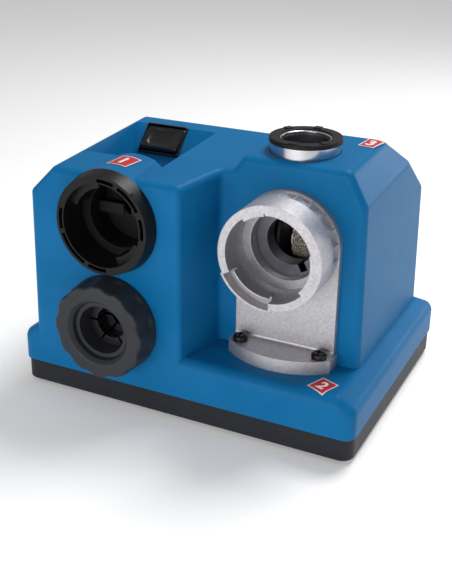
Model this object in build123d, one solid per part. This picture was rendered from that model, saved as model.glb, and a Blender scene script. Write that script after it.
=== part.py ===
from build123d import *
from math import cos, radians, sin, tan
import os

# Bench-top drill bit sharpener. Millimetres: +X right, +Y back, +Z up.
# Pieces are drawn from the middle of the base and moved back by FRAME_SHIFT as
# they are written, so that the origin is on the bench under the middle of the
# whole machine. Angles round a horizontal port are counted from +X towards +Z.

os.makedirs("parts", exist_ok=True)

# ---- overall ----
BASE_WIDTH = 260.0
BASE_DEPTH = 192.4
BODY_HEIGHT = 189.2          # tower's top over the origin
TOP_RISE = 2.5               # degrees that both tops climb towards the back
BLOCK_DROP = 10.7            # left block's top below the tower's

# ---- base tray ----
FOOT_DROP = 3.0
FOOT_R = 9.0
TRAY_HEIGHT = 17.0
TRAY_WALL = 3.0
TRAY_INSET = 0.8             # tray's side, inside the housing's
CORNER_R = 9.0
LIP_HEIGHT = 5.0
LIP_THICK = 2.0
FIT_GAP = 0.3                # between pieces that slide past or drop in
RUN_GAP = 0.05               # shaft running fit

# ---- housing ----
WALL = 2.8
LEDGE_WIDTH = 13.0
LEDGE_LOW = 21.0             # ledge's outer edge above the seam
LEDGE_TOP = 29.3             # ledge's inner edge above the seam
WALL_LEAN = 1.2              # degrees of draft on the tall sides
TOWER_SETBACK = 44.2         # tower's front behind the base's front
BLOCK_WIDTH = 119.6          # left block's front, from its left wall
BLOCK_SPLAY = 10.0           # its right wall's step to the right at the tower
LEFT_CHAMFER = (20.0, 20.0)
RIGHT_CHAMFER = (12.5, 23.0)
TOWER_LEFT_SLOPE = 7.7
REAR_EDGE_Z = 122.0          # rear slope's lower edge, above the seam
REAR_SLOPE = 36.5            # degrees from level
EDGE_R = 5.0
CHAMFER_EDGE_R = 7.0         # along both edges of the tower's chamfer
PLINTH_R = 8.0
BOSS_R = 4.5
BOSS_INSET = (11.0, 13.0)

# ---- fasteners ----
SCREW_R = 2.0
SCREW_HEAD_R = 3.8
SCREW_HEAD_H = 2.6
BRACKET_SCREW_R = 2.5
BRACKET_HEAD_R = 5.3
BRACKET_HEAD_H = 4.2

# ---- setting port, left and high ----
LEFT_PORTS_X = 79.8          # both left ports' axis, from the base's left side
SETTING_DROP = 46.7          # its axis below the tower's top over the origin
SETTING_RIM_R = 34.9
SETTING_BASE_R = 36.9
SETTING_PROUD = 10.9
SETTING_BORE_R = 29.5
SETTING_SLOT = (30.5, 33.0)
SETTING_LIP_R = 24.5
SETTING_LIP_DEPTH = 7.0      # lips' front, behind the rim
SETTING_PIP_ANGLE = 47.0     # index pip on the taper
SETTING_STEP_DEPTH = 24.0    # rim to the inner floor
SETTING_CAVITY_R = 23.3
BARREL_LENGTH = 39.0

# ---- chuck and its socket, left and low ----
CHUCK_Z = 67.2
COLLAR_R = 34.6
COLLAR_BACK_R = 35.6
COLLAR_LENGTH = 20.1
COLLAR_GAP = 0.7             # collar's back to the housing's front
COLLAR_BORE_R = 21.4
COLLAR_MOUTH_R = 24.1
SCALLOPS = 12
CHUCK_BODY_R = 24.4
CHUCK_BODY_LENGTH = 46.0
CHUCK_CAM_R = 28.4
COLLET_R = 17.6
BIT_BORE_R = 6.6             # the largest bit is 13 mm
COLLET_LENGTH = 44.0
COLLET_FINGERS = 6
SOCKET_WALL = 2.2

# ---- sharpening port bracket, on the tower ----
TOWER_PORT_X = 66.2          # sharpening port's axis, from the base's right side
SHARPEN_DROP = 55.4          # its axis below the tower's top over the origin
BRACKET_R = 36.5
BRACKET_PLATE = 5.0
TUBE_LENGTH = 31.7           # from the plate's front
TUBE_BORE_R = 30.8
TUBE_FLOOR_DEPTH = 27.8      # from the rim
TUBE_INNER_R = 24.9
FOOT_THICK = 10.0
FOOT_WIDTH = 75.2
FOOT_SAG = 14.5              # front arc's rise
BRACKET_ROOT_R = 2.0
FOOT_SIDE = 9.0              # straight part of its sides, past the plate
BRACKET_SCREW_X = 29.1
BRACKET_SCREW_Y = 8.0        # ahead of the plate's front
SLEEVE_R = 17.0
SLEEVE_WALL = 0.9
SLEEVE_GAP = 2.0             # its tip to the wheel guard
SLEEVE_SLOT = (62.0, 2.6)    # angle below the horizontal, and half width
SLEEVE_DISC_R = 25.7         # wider than the bracket's bore, which traps it
SLEEVE_SEAT = 1.8            # its recess in the tower's front

# ---- split-point port, on the tower's top ----
SPLIT_X = 70.1               # from the base's right side
SPLIT_Y = -22.0
SPLIT_TUBE_R = 24.0
SPLIT_TUBE_BORE_R = 16.0
SPLIT_RING_R = 24.8
SPLIT_RING_BORE_R = 17.6
SPLIT_RING_H = 3.2
SPLIT_PROUD = 6.4            # tube above the top
SPLIT_FLANGE_R = 27.4
SPLIT_SCREW_R = 31.6         # screw circle

# ---- grinding wheel and motor, on one axis along X ----
SPINDLE_Y = 0.0
SPINDLE_DROP = 63.7          # below the tower's top over the origin
WHEEL_R = 32.0
WHEEL_WIDTH = 20.0
WHEEL_EDGE_X = 73.0          # wheel's left edge, from the base's right side
SHAFT_R = 4.0
CAN_R = 24.5
CAN_LENGTH = 62.0
CAN_WALL = 1.6
MOTOR_TO_WHEEL = 28.0
MAGNET_THICK = 4.0
AIR_GAP = 0.6
BEARING_R = 8.0
BEARING_WIDTH = 5.0
BELL_THICK = 6.0
GUARD_GAP = 4.0
GUARD_WALL = 2.0

# ---- switch, in the left block's pocket ----
SWITCH_X = 64.3              # from the base's left side
SWITCH_FACE_Y = 6.75
SWITCH_FACE_DROP = 6.8       # face's centre below the block's top over the origin
SWITCH_TILT = 45.0
BEZEL_WIDTH = 34.3
BEZEL_LENGTH = 25.4
BEZEL_PROUD = 1.8
SWITCH_BODY = (33.2, 24.2, 24.0)
ROCKER_WIDTH = 31.2
ROCKER_R = 11.2
ROCKER_PIVOT = 4.0           # below the face
ROCKER_TILT = 9.0
POCKET_LEFT = 45.5           # pocket's sides, from the base's left side
POCKET_RIGHT = 104.5
POCKET_LEAN = 20.0           # degrees that its left wall leans outwards
POCKET_CORNER = (9.5, 8.8)   # front right corner's reach beside the barrel, width and depth
POCKET_CORNER_DROP = 6.5    # that corner's floor, below the block's top
CAN_CLEARANCE = 2.2          # motor can to the pocket's underside

# ---- labels ----
LABEL_THICK = 0.3
LABEL_ONE = (16.0, 19.5)     # width and length
LABEL_TWO = (14.0, 16.0)
LABEL_THREE = (11.5, 17.5)
LABEL_ONE_TURN = 5.0         # degrees clockwise, seen from above
LABEL_TWO_TURN = 22.0
LABEL_THREE_TURN = 9.0
LABEL_ONE_INSET = 20.7       # centre, behind the base's front
LABEL_TWO_INSET = (26.8, 13.2)   # centre, from the base's right side and front
LABEL_THREE_X = 34.2         # centre, from the base's right side
LABEL_THREE_Y = 8.0

# ---- worked out from the sizes above ----
HALF_W = BASE_WIDTH / 2
HALF_D = BASE_DEPTH / 2
FRONT_Y = -HALF_D
SEAM_Z = FOOT_DROP + TRAY_HEIGHT
LEDGE_LOW_Z = SEAM_Z + LEDGE_LOW
LEDGE_TOP_Z = SEAM_Z + LEDGE_TOP
BODY_HALF_W = HALF_W - LEDGE_WIDTH
REAR_Y = HALF_D - LEDGE_WIDTH
TOWER_Y = FRONT_Y + TOWER_SETBACK
BLOCK_TOP_Z = BODY_HEIGHT - BLOCK_DROP
SETTING_Z = BODY_HEIGHT - SETTING_DROP
SHARPEN_Z = BODY_HEIGHT - SHARPEN_DROP
SPINDLE_Z = BODY_HEIGHT - SPINDLE_DROP
RISE = tan(radians(TOP_RISE))
LEFT_X = -HALF_W + LEFT_PORTS_X
PORT_X = HALF_W - TOWER_PORT_X
SPLIT_AXIS_X = HALF_W - SPLIT_X
SPLIT_BASE_Z = BODY_HEIGHT + SPLIT_Y * RISE
WHEEL_X0 = HALF_W - WHEEL_EDGE_X
WHEEL_X1 = WHEEL_X0 + WHEEL_WIDTH
CAN_X1 = WHEEL_X0 - MOTOR_TO_WHEEL
CAN_X0 = CAN_X1 - CAN_LENGTH
TRAY_FLOOR_Z = FOOT_DROP + TRAY_WALL
INNER_FRONT_Y = FRONT_Y + WALL
FAR = 400.0
FRAME_SHIFT = (COLLAR_GAP + COLLAR_LENGTH) / 2     # half of what the knob stands ahead of the base


def box(x0, x1, y0, y1, z0, z1):
    """A block between two corners."""
    size = Box(x1 - x0, y1 - y0, z1 - z0)
    return Pos((x0 + x1) / 2, (y0 + y1) / 2, (z0 + z1) / 2) * size


def rod_x(y, z, x0, x1, r):
    """A cylinder along X."""
    return Pos((x0 + x1) / 2, y, z) * Rot(0, 90, 0) * Cylinder(r, x1 - x0)


def rod_y(x, z, y0, y1, r):
    """A cylinder along Y."""
    return Pos(x, (y0 + y1) / 2, z) * Rot(90, 0, 0) * Cylinder(r, y1 - y0)


def rod_z(x, y, z0, z1, r):
    """A cylinder along Z."""
    return Pos(x, y, (z0 + z1) / 2) * Cylinder(r, z1 - z0)


def cone_y(x, z, y0, y1, r0, r1):
    """A cone along Y, with radius r0 at y0 and r1 at y1."""
    body = Cone(r1, r0, y1 - y0)
    return Pos(x, (y0 + y1) / 2, z) * Rot(90, 0, 0) * body


def tube_x(y, z, x0, x1, r, bore):
    """A round tube along X."""
    return rod_x(y, z, x0, x1, r) - rod_x(y, z, x0, x1, bore)


def tube_y(x, z, y0, y1, r, bore):
    """A round tube along Y."""
    return rod_y(x, z, y0, y1, r) - rod_y(x, z, y0, y1, bore)


def tube_z(x, y, z0, z1, r, bore):
    """A round tube along Z."""
    return rod_z(x, y, z0, z1, r) - rod_z(x, y, z0, z1, bore)


def prism_y(points, y0, y1, inset=0.0, climb=0.0):
    """A profile of (x, z) points drawn at y = 0 and carried along Y.

    inset moves every side inwards. climb is the degrees it rises along +Y.
    """
    face = make_face(Polyline(*[(x, z) for x, z in points], close=True))
    if inset:
        face = offset(face, amount=-inset, kind=Kind.INTERSECTION)
    rise = tan(radians(climb))
    start = Plane((0, y0, y0 * rise), x_dir=(1, 0, 0), z_dir=(0, -1, 0))
    length = (y1 - y0) / cos(radians(climb))
    return extrude(start * face, amount=length, dir=(0, cos(radians(climb)), sin(radians(climb))))


def prism_x(points, x0, x1, inset=0.0):
    """A profile of (y, z) points carried along X."""
    face = make_face(Polyline(*[(y, z) for y, z in points], close=True))
    if inset:
        face = offset(face, amount=-inset, kind=Kind.INTERSECTION)
    start = Plane((x0, 0, 0), x_dir=(0, 1, 0), z_dir=(1, 0, 0))
    return extrude(start * face, amount=x1 - x0)


def prism_z(points, z0, z1, inset=0.0):
    """A profile of (x, y) points carried along Z."""
    face = make_face(Polyline(*[(x, y) for x, y in points], close=True))
    if inset:
        face = offset(face, amount=-inset, kind=Kind.INTERSECTION)
    return extrude(Plane((0, 0, z0)) * face, amount=z1 - z0)


def wedge_y(x, z, y0, y1, start, end, reach=60.0):
    """A pie slice about a Y axis, from one angle to another, at most 180 degrees."""
    steps = 6
    corners = [(x, z)]
    for i in range(steps + 1):
        angle = radians(start + (end - start) * i / steps)
        corners.append((x + reach * cos(angle), z + reach * sin(angle)))
    return prism_y(corners, y0, y1)


def sector_y(x, z, y0, y1, r, bore, start, end):
    """Part of a tube about a Y axis, between two angles."""
    return tube_y(x, z, y0, y1, r, bore) & wedge_y(x, z, y0, y1, start, end)


def around_y(x, z, r, angle):
    """A point (x, z) at a radius and an angle about a Y axis."""
    return x + r * cos(radians(angle)), z + r * sin(radians(angle))


def pan_screw(head_r, head_h, shank_r, shank):
    """A cross-head screw that points down, its head resting on z = 0."""
    head = Pos(0, 0, head_h / 2) * Cylinder(head_r, head_h)
    head = fillet(head.edges().group_by(Axis.Z)[-1], head_h * 0.55)
    slot_l, slot_w = head_r * 1.15, head_r * 0.28
    slot = Pos(0, 0, head_h) * (Box(slot_l, slot_w, head_h) + Box(slot_w, slot_l, head_h))
    return head - slot + Pos(0, 0, -shank / 2) * Cylinder(shank_r, shank)


def corners(dx, dy):
    """The four points at plus and minus dx and dy."""
    return [(sx * dx, sy * dy) for sx in (-1, 1) for sy in (-1, 1)]


def export(name, shape):
    """Writes one node's STEP file."""
    export_step(Pos(0, FRAME_SHIFT, 0) * shape, f"parts/{name}.step")
    print(f"{name}: {len(shape.solids())} solid(s), {shape.volume / 1000:.2f} cm3")


# ---------------------------------------------------------------- base
BOSS_X = HALF_W - BOSS_INSET[0]
BOSS_Y = HALF_D - BOSS_INSET[1]


def make_base_tray():
    """The black tray, with a rim, a lip that the housing drops over, and screw holes."""
    half_w = HALF_W - TRAY_INSET
    half_d = HALF_D - TRAY_INSET
    outer = box(-half_w, half_w, -half_d, half_d, FOOT_DROP, SEAM_Z)
    outer = fillet(outer.edges().filter_by(Axis.Z), CORNER_R)
    outer = chamfer(outer.edges().group_by(Axis.Z)[0], 1.0)
    room_w, room_d = half_w - TRAY_WALL, half_d - TRAY_WALL
    hollow = box(-room_w, room_w, -room_d, room_d, TRAY_FLOOR_Z, FAR)
    tray = outer - fillet(hollow.edges().filter_by(Axis.Z), CORNER_R - TRAY_WALL)
    lip_w = HALF_W - WALL - FIT_GAP
    lip_d = HALF_D - WALL - FIT_GAP
    lip = box(-lip_w, lip_w, -lip_d, lip_d, SEAM_Z - 2, SEAM_Z + LIP_HEIGHT)
    lip = fillet(lip.edges().filter_by(Axis.Z), CORNER_R - WALL)
    core = box(-lip_w + LIP_THICK, lip_w - LIP_THICK, -lip_d + LIP_THICK, lip_d - LIP_THICK, 0, FAR)
    tray += lip - fillet(core.edges().filter_by(Axis.Z), CORNER_R - WALL - LIP_THICK)
    for x in (-HALF_W + 72, -HALF_W + 88, HALF_W - 42):
        tray += box(x - 1, x + 1, -half_d + TRAY_WALL, half_d - TRAY_WALL, TRAY_FLOOR_Z, TRAY_FLOOR_Z + 6)
    for x, y in tray_screw_points():
        tray -= rod_z(x, y, TRAY_FLOOR_Z - 2.2, FAR, SCREW_R)
    for x, y in corners(BOSS_X, BOSS_Y):
        tray += rod_z(x, y, TRAY_FLOOR_Z, TRAY_FLOOR_Z + 3, BOSS_R + 1.5)
        tray -= rod_z(x, y, 0, FAR, SCREW_R + FIT_GAP)
        tray -= rod_z(x, y, 0, FOOT_DROP + SCREW_HEAD_H + 0.8, SCREW_HEAD_R + FIT_GAP)
    for x, y in corners(BOSS_X - 16, BOSS_Y - 14):
        tray -= rod_z(x, y, 0, FAR, 2.5)
    return tray


def make_rubber_feet():
    """Four feet, each with a nipple through the tray's floor."""
    feet = []
    for x, y in corners(BOSS_X - 16, BOSS_Y - 14):
        pad = rod_z(x, y, 0, FOOT_DROP, FOOT_R)
        pad = chamfer(pad.edges().group_by(Axis.Z)[0], 0.8)
        nipple = rod_z(x, y, FOOT_DROP, TRAY_FLOOR_Z, 2.5)
        nipple += rod_z(x, y, TRAY_FLOOR_Z, TRAY_FLOOR_Z + 1.5, 3.6)
        feet.append(pad + nipple)
    return Compound(feet)


def make_base_screws():
    """Four screws, up through the tray into the housing's bosses."""
    seat = FOOT_DROP + SCREW_HEAD_H + 0.8
    screw = Rot(180, 0, 0) * pan_screw(SCREW_HEAD_R, SCREW_HEAD_H, SCREW_R, 20)
    return Compound([Pos(x, y, seat) * screw for x, y in corners(BOSS_X, BOSS_Y)])


# ---------------------------------------------------------------- housing
POCKET_X0 = -HALF_W + POCKET_LEFT
POCKET_X1 = -HALF_W + POCKET_RIGHT
POCKET_Y0 = FRONT_Y + BARREL_LENGTH
POCKET_Z = SPINDLE_Z + CAN_R + CAN_CLEARANCE + WALL
SWITCH_FACE = (-HALF_W + SWITCH_X, SWITCH_FACE_Y, BLOCK_TOP_Z - SWITCH_FACE_DROP)
SWITCH_OUT = (0, -sin(radians(SWITCH_TILT)), cos(radians(SWITCH_TILT)))
SWITCH_PLANE = Plane(SWITCH_FACE, x_dir=(1, 0, 0), z_dir=SWITCH_OUT)


def body_form(inset):
    """The housing's outer form above the ledge, or its hollow when inset is a wall."""
    block_x = -BODY_HALF_W + BLOCK_WIDTH
    plan = [(-FAR, FRONT_Y), (block_x, FRONT_Y), (block_x + BLOCK_SPLAY, TOWER_Y),
            (FAR, TOWER_Y), (FAR, FAR), (-FAR, FAR)]
    lean = tan(radians(WALL_LEAN))
    low_x = BODY_HALF_W + lean * 60
    left_z = BLOCK_TOP_Z - LEFT_CHAMFER[1]
    right_z = BODY_HEIGHT - RIGHT_CHAMFER[1]
    left_x = -BODY_HALF_W + lean * (left_z - LEDGE_TOP_Z)
    right_x = BODY_HALF_W - lean * (right_z - LEDGE_TOP_Z)
    tower_x = block_x + BLOCK_SPLAY + 7.5
    front = [(-low_x, LEDGE_TOP_Z - 60), (left_x, left_z), (left_x + LEFT_CHAMFER[0], BLOCK_TOP_Z),
             (tower_x, BLOCK_TOP_Z), (tower_x + TOWER_LEFT_SLOPE, BODY_HEIGHT),
             (right_x - RIGHT_CHAMFER[0], BODY_HEIGHT), (right_x, right_z), (low_x, LEDGE_TOP_Z - 60)]
    slope_z = SEAM_Z + REAR_EDGE_Z
    side = [(-FAR, -60), (REAR_Y + lean * 80, -60), (REAR_Y, slope_z),
            (REAR_Y - (FAR - slope_z) / tan(radians(REAR_SLOPE)), FAR), (-FAR, FAR)]
    form = prism_y(front, -FAR, FAR, inset, TOP_RISE)
    form &= prism_z(plan, SEAM_Z, FAR, inset)
    return form & prism_x(side, -FAR, FAR, inset)


def plinth_form(inset):
    """The low part: upright sides, then a slope up to the body's walls."""
    w, d = HALF_W - inset, HALF_D - inset
    low_z, top_z = LEDGE_LOW_Z - inset * 0.7, LEDGE_TOP_Z - inset
    low = box(-w, w, -d, d, SEAM_Z, low_z)
    top_w, top_back = w - LEDGE_WIDTH, d - LEDGE_WIDTH
    lower_edge = Face(Wire.make_polygon([(-w, -d, low_z), (w, -d, low_z), (w, d, low_z), (-w, d, low_z)]))
    upper_edge = Face(Wire.make_polygon(
        [(-top_w, -d, top_z), (top_w, -d, top_z), (top_w, top_back, top_z), (-top_w, top_back, top_z)]))
    return low + Solid.make_loft([lower_edge.outer_wire(), upper_edge.outer_wire()], ruled=True)


def pocket_form(grow):
    """The switch pocket: a flat floor and a ramp that carries the switch."""
    face_y, face_z = SWITCH_FACE[1], SWITCH_FACE[2]
    tilt = radians(SWITCH_TILT)
    ramp_y = face_y + BEZEL_PROUD * sin(tilt)
    ramp_z = face_z - BEZEL_PROUD * cos(tilt)
    foot_y = ramp_y - (ramp_z - POCKET_Z) / tan(tilt)
    ramp_end_y = foot_y + (FAR - POCKET_Z) / tan(tilt)
    side = [(POCKET_Y0, POCKET_Z), (foot_y, POCKET_Z), (ramp_end_y, FAR), (POCKET_Y0, FAR)]
    left_x, right_x, floor_z = POCKET_X0 - grow, POCKET_X1 + grow, POCKET_Z - grow
    lean_x = left_x - (FAR - floor_z) * tan(radians(POCKET_LEAN))
    across = [(left_x, floor_z), (right_x, floor_z), (right_x, FAR), (lean_x, FAR)]
    cut = prism_x(side, -FAR, FAR, -grow) & prism_y(across, -FAR, FAR)
    corner_x, corner_y = POCKET_X1 - POCKET_CORNER[0], POCKET_Y0 - POCKET_CORNER[1]
    back_y = POCKET_Y0 + 1
    plan = [(corner_x, back_y), (corner_x, POCKET_Y0), (POCKET_X1, corner_y), (POCKET_X1, back_y)]
    cut += prism_z(plan, BLOCK_TOP_Z - POCKET_CORNER_DROP - grow, FAR, -grow)
    return cut & box(-FAR, FAR, -FAR, FAR, 0, BODY_HEIGHT + 30)


def outer_form():
    """The blue moulding's outside, solid."""
    body = body_form(0)
    chamfer_x, chamfer_z = BODY_HALF_W - 2 * RIGHT_CHAMFER[0], BODY_HEIGHT - 2 * RIGHT_CHAMFER[1]
    long_edges = body.edges().filter_by(lambda e: e.length > TOWER_SETBACK)
    long_edges = long_edges.filter_by(lambda e: e.center().X > chamfer_x and e.center().Z > chamfer_z)
    body = fillet(long_edges, CHAMFER_EDGE_R)
    above = body.edges().filter_by(GeomType.LINE).filter_by(lambda e: e.center().Z > SEAM_Z + 1)
    body = fillet(above, EDGE_R)
    plinth = plinth_form(0)
    plinth = fillet(plinth.edges().filter_by(lambda e: e.center().Z > SEAM_Z + 1), PLINTH_R)
    barrel = rod_y(LEFT_X, SETTING_Z, FRONT_Y, POCKET_Y0, SETTING_BASE_R)
    return body + plinth + barrel


def make_housing(outer):
    """The blue moulding: a shell that is open below, with every port and vent."""
    room_w, room_d = HALF_W - WALL, HALF_D - WALL
    hollow = body_form(WALL) + plinth_form(WALL)
    hollow += box(-room_w, room_w, -room_d, room_d, 0, SEAM_Z + 3)
    hollow += rod_y(LEFT_X, SETTING_Z, INNER_FRONT_Y, POCKET_Y0 - WALL, SETTING_BASE_R - WALL)
    hollow -= pocket_form(WALL)
    shell = outer - hollow - pocket_form(0)
    for x, y in corners(BOSS_X, BOSS_Y):
        shell += rod_z(x, y, TRAY_FLOOR_Z + 3, LEDGE_LOW_Z + 1, BOSS_R)
        shell -= rod_z(x, y, 0, LEDGE_LOW_Z - 6, SCREW_R)
    shell -= rod_y(LEFT_X, SETTING_Z, FRONT_Y - 1, FRONT_Y + 10, SETTING_BORE_R + 1.5 + FIT_GAP)
    shell -= rod_y(LEFT_X, CHUCK_Z, FRONT_Y - 1, FRONT_Y + 10, CHUCK_CAM_R + 1.6)
    shell -= rod_y(PORT_X, SHARPEN_Z, TOWER_Y - 1, TOWER_Y + 20, SLEEVE_R + SLEEVE_WALL + FIT_GAP)
    shell -= rod_y(PORT_X, SHARPEN_Z, TOWER_Y - 1, TOWER_Y + SLEEVE_SEAT, SLEEVE_DISC_R + FIT_GAP)
    shell -= sleeve_slot(FIT_GAP)
    shell -= rod_z(SPLIT_AXIS_X, SPLIT_Y, BODY_HEIGHT - 20, FAR, SPLIT_TUBE_R + FIT_GAP)
    shell += split_mount()
    for x, z in setting_screw_points() + socket_screw_points():
        shell -= rod_y(x, z, INNER_FRONT_Y - 2.0, INNER_FRONT_Y + 1, SCREW_R)
    window = (SWITCH_BODY[0] + 2 * FIT_GAP, SWITCH_BODY[1] + 2 * FIT_GAP)
    shell -= SWITCH_PLANE * Pos(0, 0, -6) * Box(window[0], window[1], 12)
    for x, y in bracket_screw_points():
        shell -= rod_z(x, y, LEDGE_TOP_Z - 8, LEDGE_TOP_Z + 4, BRACKET_SCREW_R + FIT_GAP)
    for i in range(9):
        shell -= box(-36 + i * 9, -32 + i * 9, REAR_Y - 8, REAR_Y + 8, 72, 104)
    shell -= rod_y(GLAND_X, GLAND_Z, REAR_Y - 10, REAR_Y + 12, GLAND_R)
    return shell


def split_housing(shell):
    """The moulding as panels that meet face to face, so that each is a simple shape."""
    cap_z = SETTING_Z + SETTING_CAVITY_R + 3
    block_side_x = -BODY_HALF_W + BLOCK_WIDTH
    side_x = BODY_HALF_W - 3 * WALL
    pocket_x0 = POCKET_X0 - (BLOCK_TOP_Z - POCKET_Z) * tan(radians(POCKET_LEAN)) - WALL
    panels = {
        "front": box(-FAR, FAR, -FAR, INNER_FRONT_Y, 0, cap_z),
        "ledge": box(block_side_x, FAR, INNER_FRONT_Y, TOWER_Y, 0, LEDGE_TOP_Z),
        "tower_front": box(block_side_x + BLOCK_SPLAY, FAR, TOWER_Y, TOWER_Y + WALL, 0, cap_z),
        "pocket": box(pocket_x0, POCKET_X1 + WALL, POCKET_Y0 - WALL, SWITCH_FACE_Y + 20, POCKET_Z - WALL, FAR),
        "top": box(-FAR, FAR, -FAR, FAR, cap_z, FAR),
        "rear": box(-FAR, FAR, REAR_Y - 45, FAR, 0, cap_z),
        "right": box(side_x, FAR, -FAR, FAR, 0, cap_z),
        "left": box(-FAR, -side_x, -FAR, FAR, 0, cap_z),
    }
    pieces = {}
    rest = shell
    for name, panel in panels.items():
        pieces[f"housing_{name}"] = rest & panel
        rest = rest - panel
    pieces["housing_middle"] = rest
    return pieces


# ---------------------------------------------------------------- motor and wheel
GUARD_X0 = WHEEL_X0 - 9
GUARD_X1 = WHEEL_X1 + 6
GUARD_R = WHEEL_R + GUARD_GAP
CRADLE_X = (CAN_X0 + 10, CAN_X1 - 10)
STRAP_SCREW_Y = CAN_R + 1.5 + SCREW_HEAD_R + 0.2
BRACKET_SCREW_AT_Y = TOWER_Y - BRACKET_PLATE - BRACKET_SCREW_Y
GLAND_X = -HALF_W + 42
GLAND_Z = 66.0
GLAND_R = 6.5


def make_motor_can():
    """The motor's steel can."""
    return tube_x(SPINDLE_Y, SPINDLE_Z, CAN_X0, CAN_X1, CAN_R, CAN_R - CAN_WALL)


def make_bell(x0, x1, pocket_inside):
    """One end bell, with a bearing pocket on its inner side."""
    bell = rod_x(SPINDLE_Y, SPINDLE_Z, x0, x1, CAN_R)
    bell -= rod_x(SPINDLE_Y, SPINDLE_Z, x0 - 1, x1 + 1, SHAFT_R + 1.0)
    depth = BEARING_WIDTH if pocket_inside > 0 else -BEARING_WIDTH
    edge = x1 if pocket_inside > 0 else x0
    low, high = sorted((edge, edge - depth))
    bell -= rod_x(SPINDLE_Y, SPINDLE_Z, low, high, BEARING_R)
    for angle in range(45, 360, 90):
        y = SPINDLE_Y + 16 * cos(radians(angle))
        z = SPINDLE_Z + 16 * sin(radians(angle))
        bell -= rod_x(y, z, x0 - 1, x1 + 1, 3.2)
    return bell


def make_magnets():
    """Two arc magnets, glued inside the can."""
    outer_r = CAN_R - CAN_WALL
    ring = tube_x(SPINDLE_Y, SPINDLE_Z, CAN_X0 + 20, CAN_X1 - 6, outer_r, outer_r - MAGNET_THICK)
    gap = box(CAN_X0, CAN_X1, -FAR, FAR, SPINDLE_Z - 4, SPINDLE_Z + 4)
    return Compound((ring - gap).solids())


CORE_R = CAN_R - CAN_WALL - MAGNET_THICK - AIR_GAP
CORE_X = (CAN_X0 + 22, CAN_X1 - 9)
COMMUTATOR_X = (CAN_X0 + 7, CAN_X0 + 16)
COMMUTATOR_R = 8.0
FAN_X = (CAN_X1 + BELL_THICK + 2, CAN_X1 + BELL_THICK + 9)
HUB_R = 12.0


def make_shaft():
    """The spindle, from the rear bearing through the rotor to the wheel's seat."""
    shaft = rod_x(SPINDLE_Y, SPINDLE_Z, CAN_X0 - BELL_THICK + 0.5, WHEEL_X1 - 3, SHAFT_R - RUN_GAP)
    return shaft - rod_x(SPINDLE_Y, SPINDLE_Z, WHEEL_X1 - 18, WHEEL_X1, SCREW_R)


def on_shaft(x0, x1, r):
    """A collar pressed on the shaft."""
    return tube_x(SPINDLE_Y, SPINDLE_Z, x0, x1, r, SHAFT_R - RUN_GAP)


def make_core():
    """Laminated core with twelve slots."""
    core = on_shaft(CORE_X[0], CORE_X[1], CORE_R)
    for i in range(12):
        angle = radians(i * 30)
        y = SPINDLE_Y + (CORE_R - 3.4) * cos(angle)
        z = SPINDLE_Z + (CORE_R - 3.4) * sin(angle)
        core -= rod_x(y, z, CORE_X[0] - 1, CORE_X[1] + 1, 2.3)
    return core


def make_windings():
    """Copper end turns at both ends of the core, joined by the wire in its slots."""
    coil = on_shaft(CORE_X[0] - 4, CORE_X[0], CORE_R - 2) + on_shaft(CORE_X[1], CORE_X[1] + 4, CORE_R - 2)
    for i in range(12):
        angle = radians(i * 30)
        y = SPINDLE_Y + (CORE_R - 3.4) * cos(angle)
        z = SPINDLE_Z + (CORE_R - 3.4) * sin(angle)
        coil += rod_x(y, z, CORE_X[0] - 1, CORE_X[1] + 1, 2.3)
    return coil


def make_commutator():
    """Commutator with twelve bars."""
    ring = on_shaft(COMMUTATOR_X[0], COMMUTATOR_X[1], COMMUTATOR_R)
    for i in range(12):
        slit = Pos(0, SPINDLE_Y, SPINDLE_Z) * Rot(i * 30 + 15, 0, 0) * Pos(0, 0, COMMUTATOR_R)
        ring -= slit * box(COMMUTATOR_X[0] - 1, COMMUTATOR_X[1] + 1, -0.3, 0.3, -1.2, 1.2)
    return ring


def make_fan():
    """Cooling fan: a hub disc with eight blades."""
    fan = on_shaft(FAN_X[0], FAN_X[1], 8) + on_shaft(FAN_X[0], FAN_X[0] + 1.6, 20)
    for i in range(8):
        blade = Pos(0, SPINDLE_Y, SPINDLE_Z) * Rot(i * 45, 0, 0)
        fan += blade * box(FAN_X[0], FAN_X[1], -0.7, 0.7, 7, 20)
    return fan


def make_bearings():
    """One ball bearing in each end bell."""
    rear = (CAN_X0 - BEARING_WIDTH, CAN_X0)
    front = (CAN_X1, CAN_X1 + BEARING_WIDTH)
    rings = []
    for x0, x1 in (rear, front):
        rings.append(tube_x(SPINDLE_Y, SPINDLE_Z, x0, x1, BEARING_R, SHAFT_R))
    return Compound(rings)


def make_wheel_hub():
    """Steel hub that the wheel seats on."""
    return on_shaft(WHEEL_X0 - 5, WHEEL_X0, HUB_R + 4) + on_shaft(WHEEL_X0, WHEEL_X1 - 3, HUB_R)


def make_diamond_wheel():
    """Grinding wheel: a steel drum with a grit rim, relieved on its outer end."""
    wheel = tube_x(SPINDLE_Y, SPINDLE_Z, WHEEL_X0, WHEEL_X1, WHEEL_R, HUB_R)
    recess = tube_x(SPINDLE_Y, SPINDLE_Z, WHEEL_X1 - 5, WHEEL_X1, WHEEL_R - 6, HUB_R)
    wheel -= recess
    return chamfer(wheel.edges().group_by(Axis.X)[-1].sort_by(SortBy.LENGTH)[-1], 1.0)


def make_wheel_washer():
    """Clamp washer on the wheel's outer face."""
    return tube_x(SPINDLE_Y, SPINDLE_Z, WHEEL_X1 - 5, WHEEL_X1 - 3, HUB_R + 6, HUB_R) + tube_x(
        SPINDLE_Y, SPINDLE_Z, WHEEL_X1 - 3, WHEEL_X1 - 1, HUB_R + 6, SCREW_R + FIT_GAP)


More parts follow.
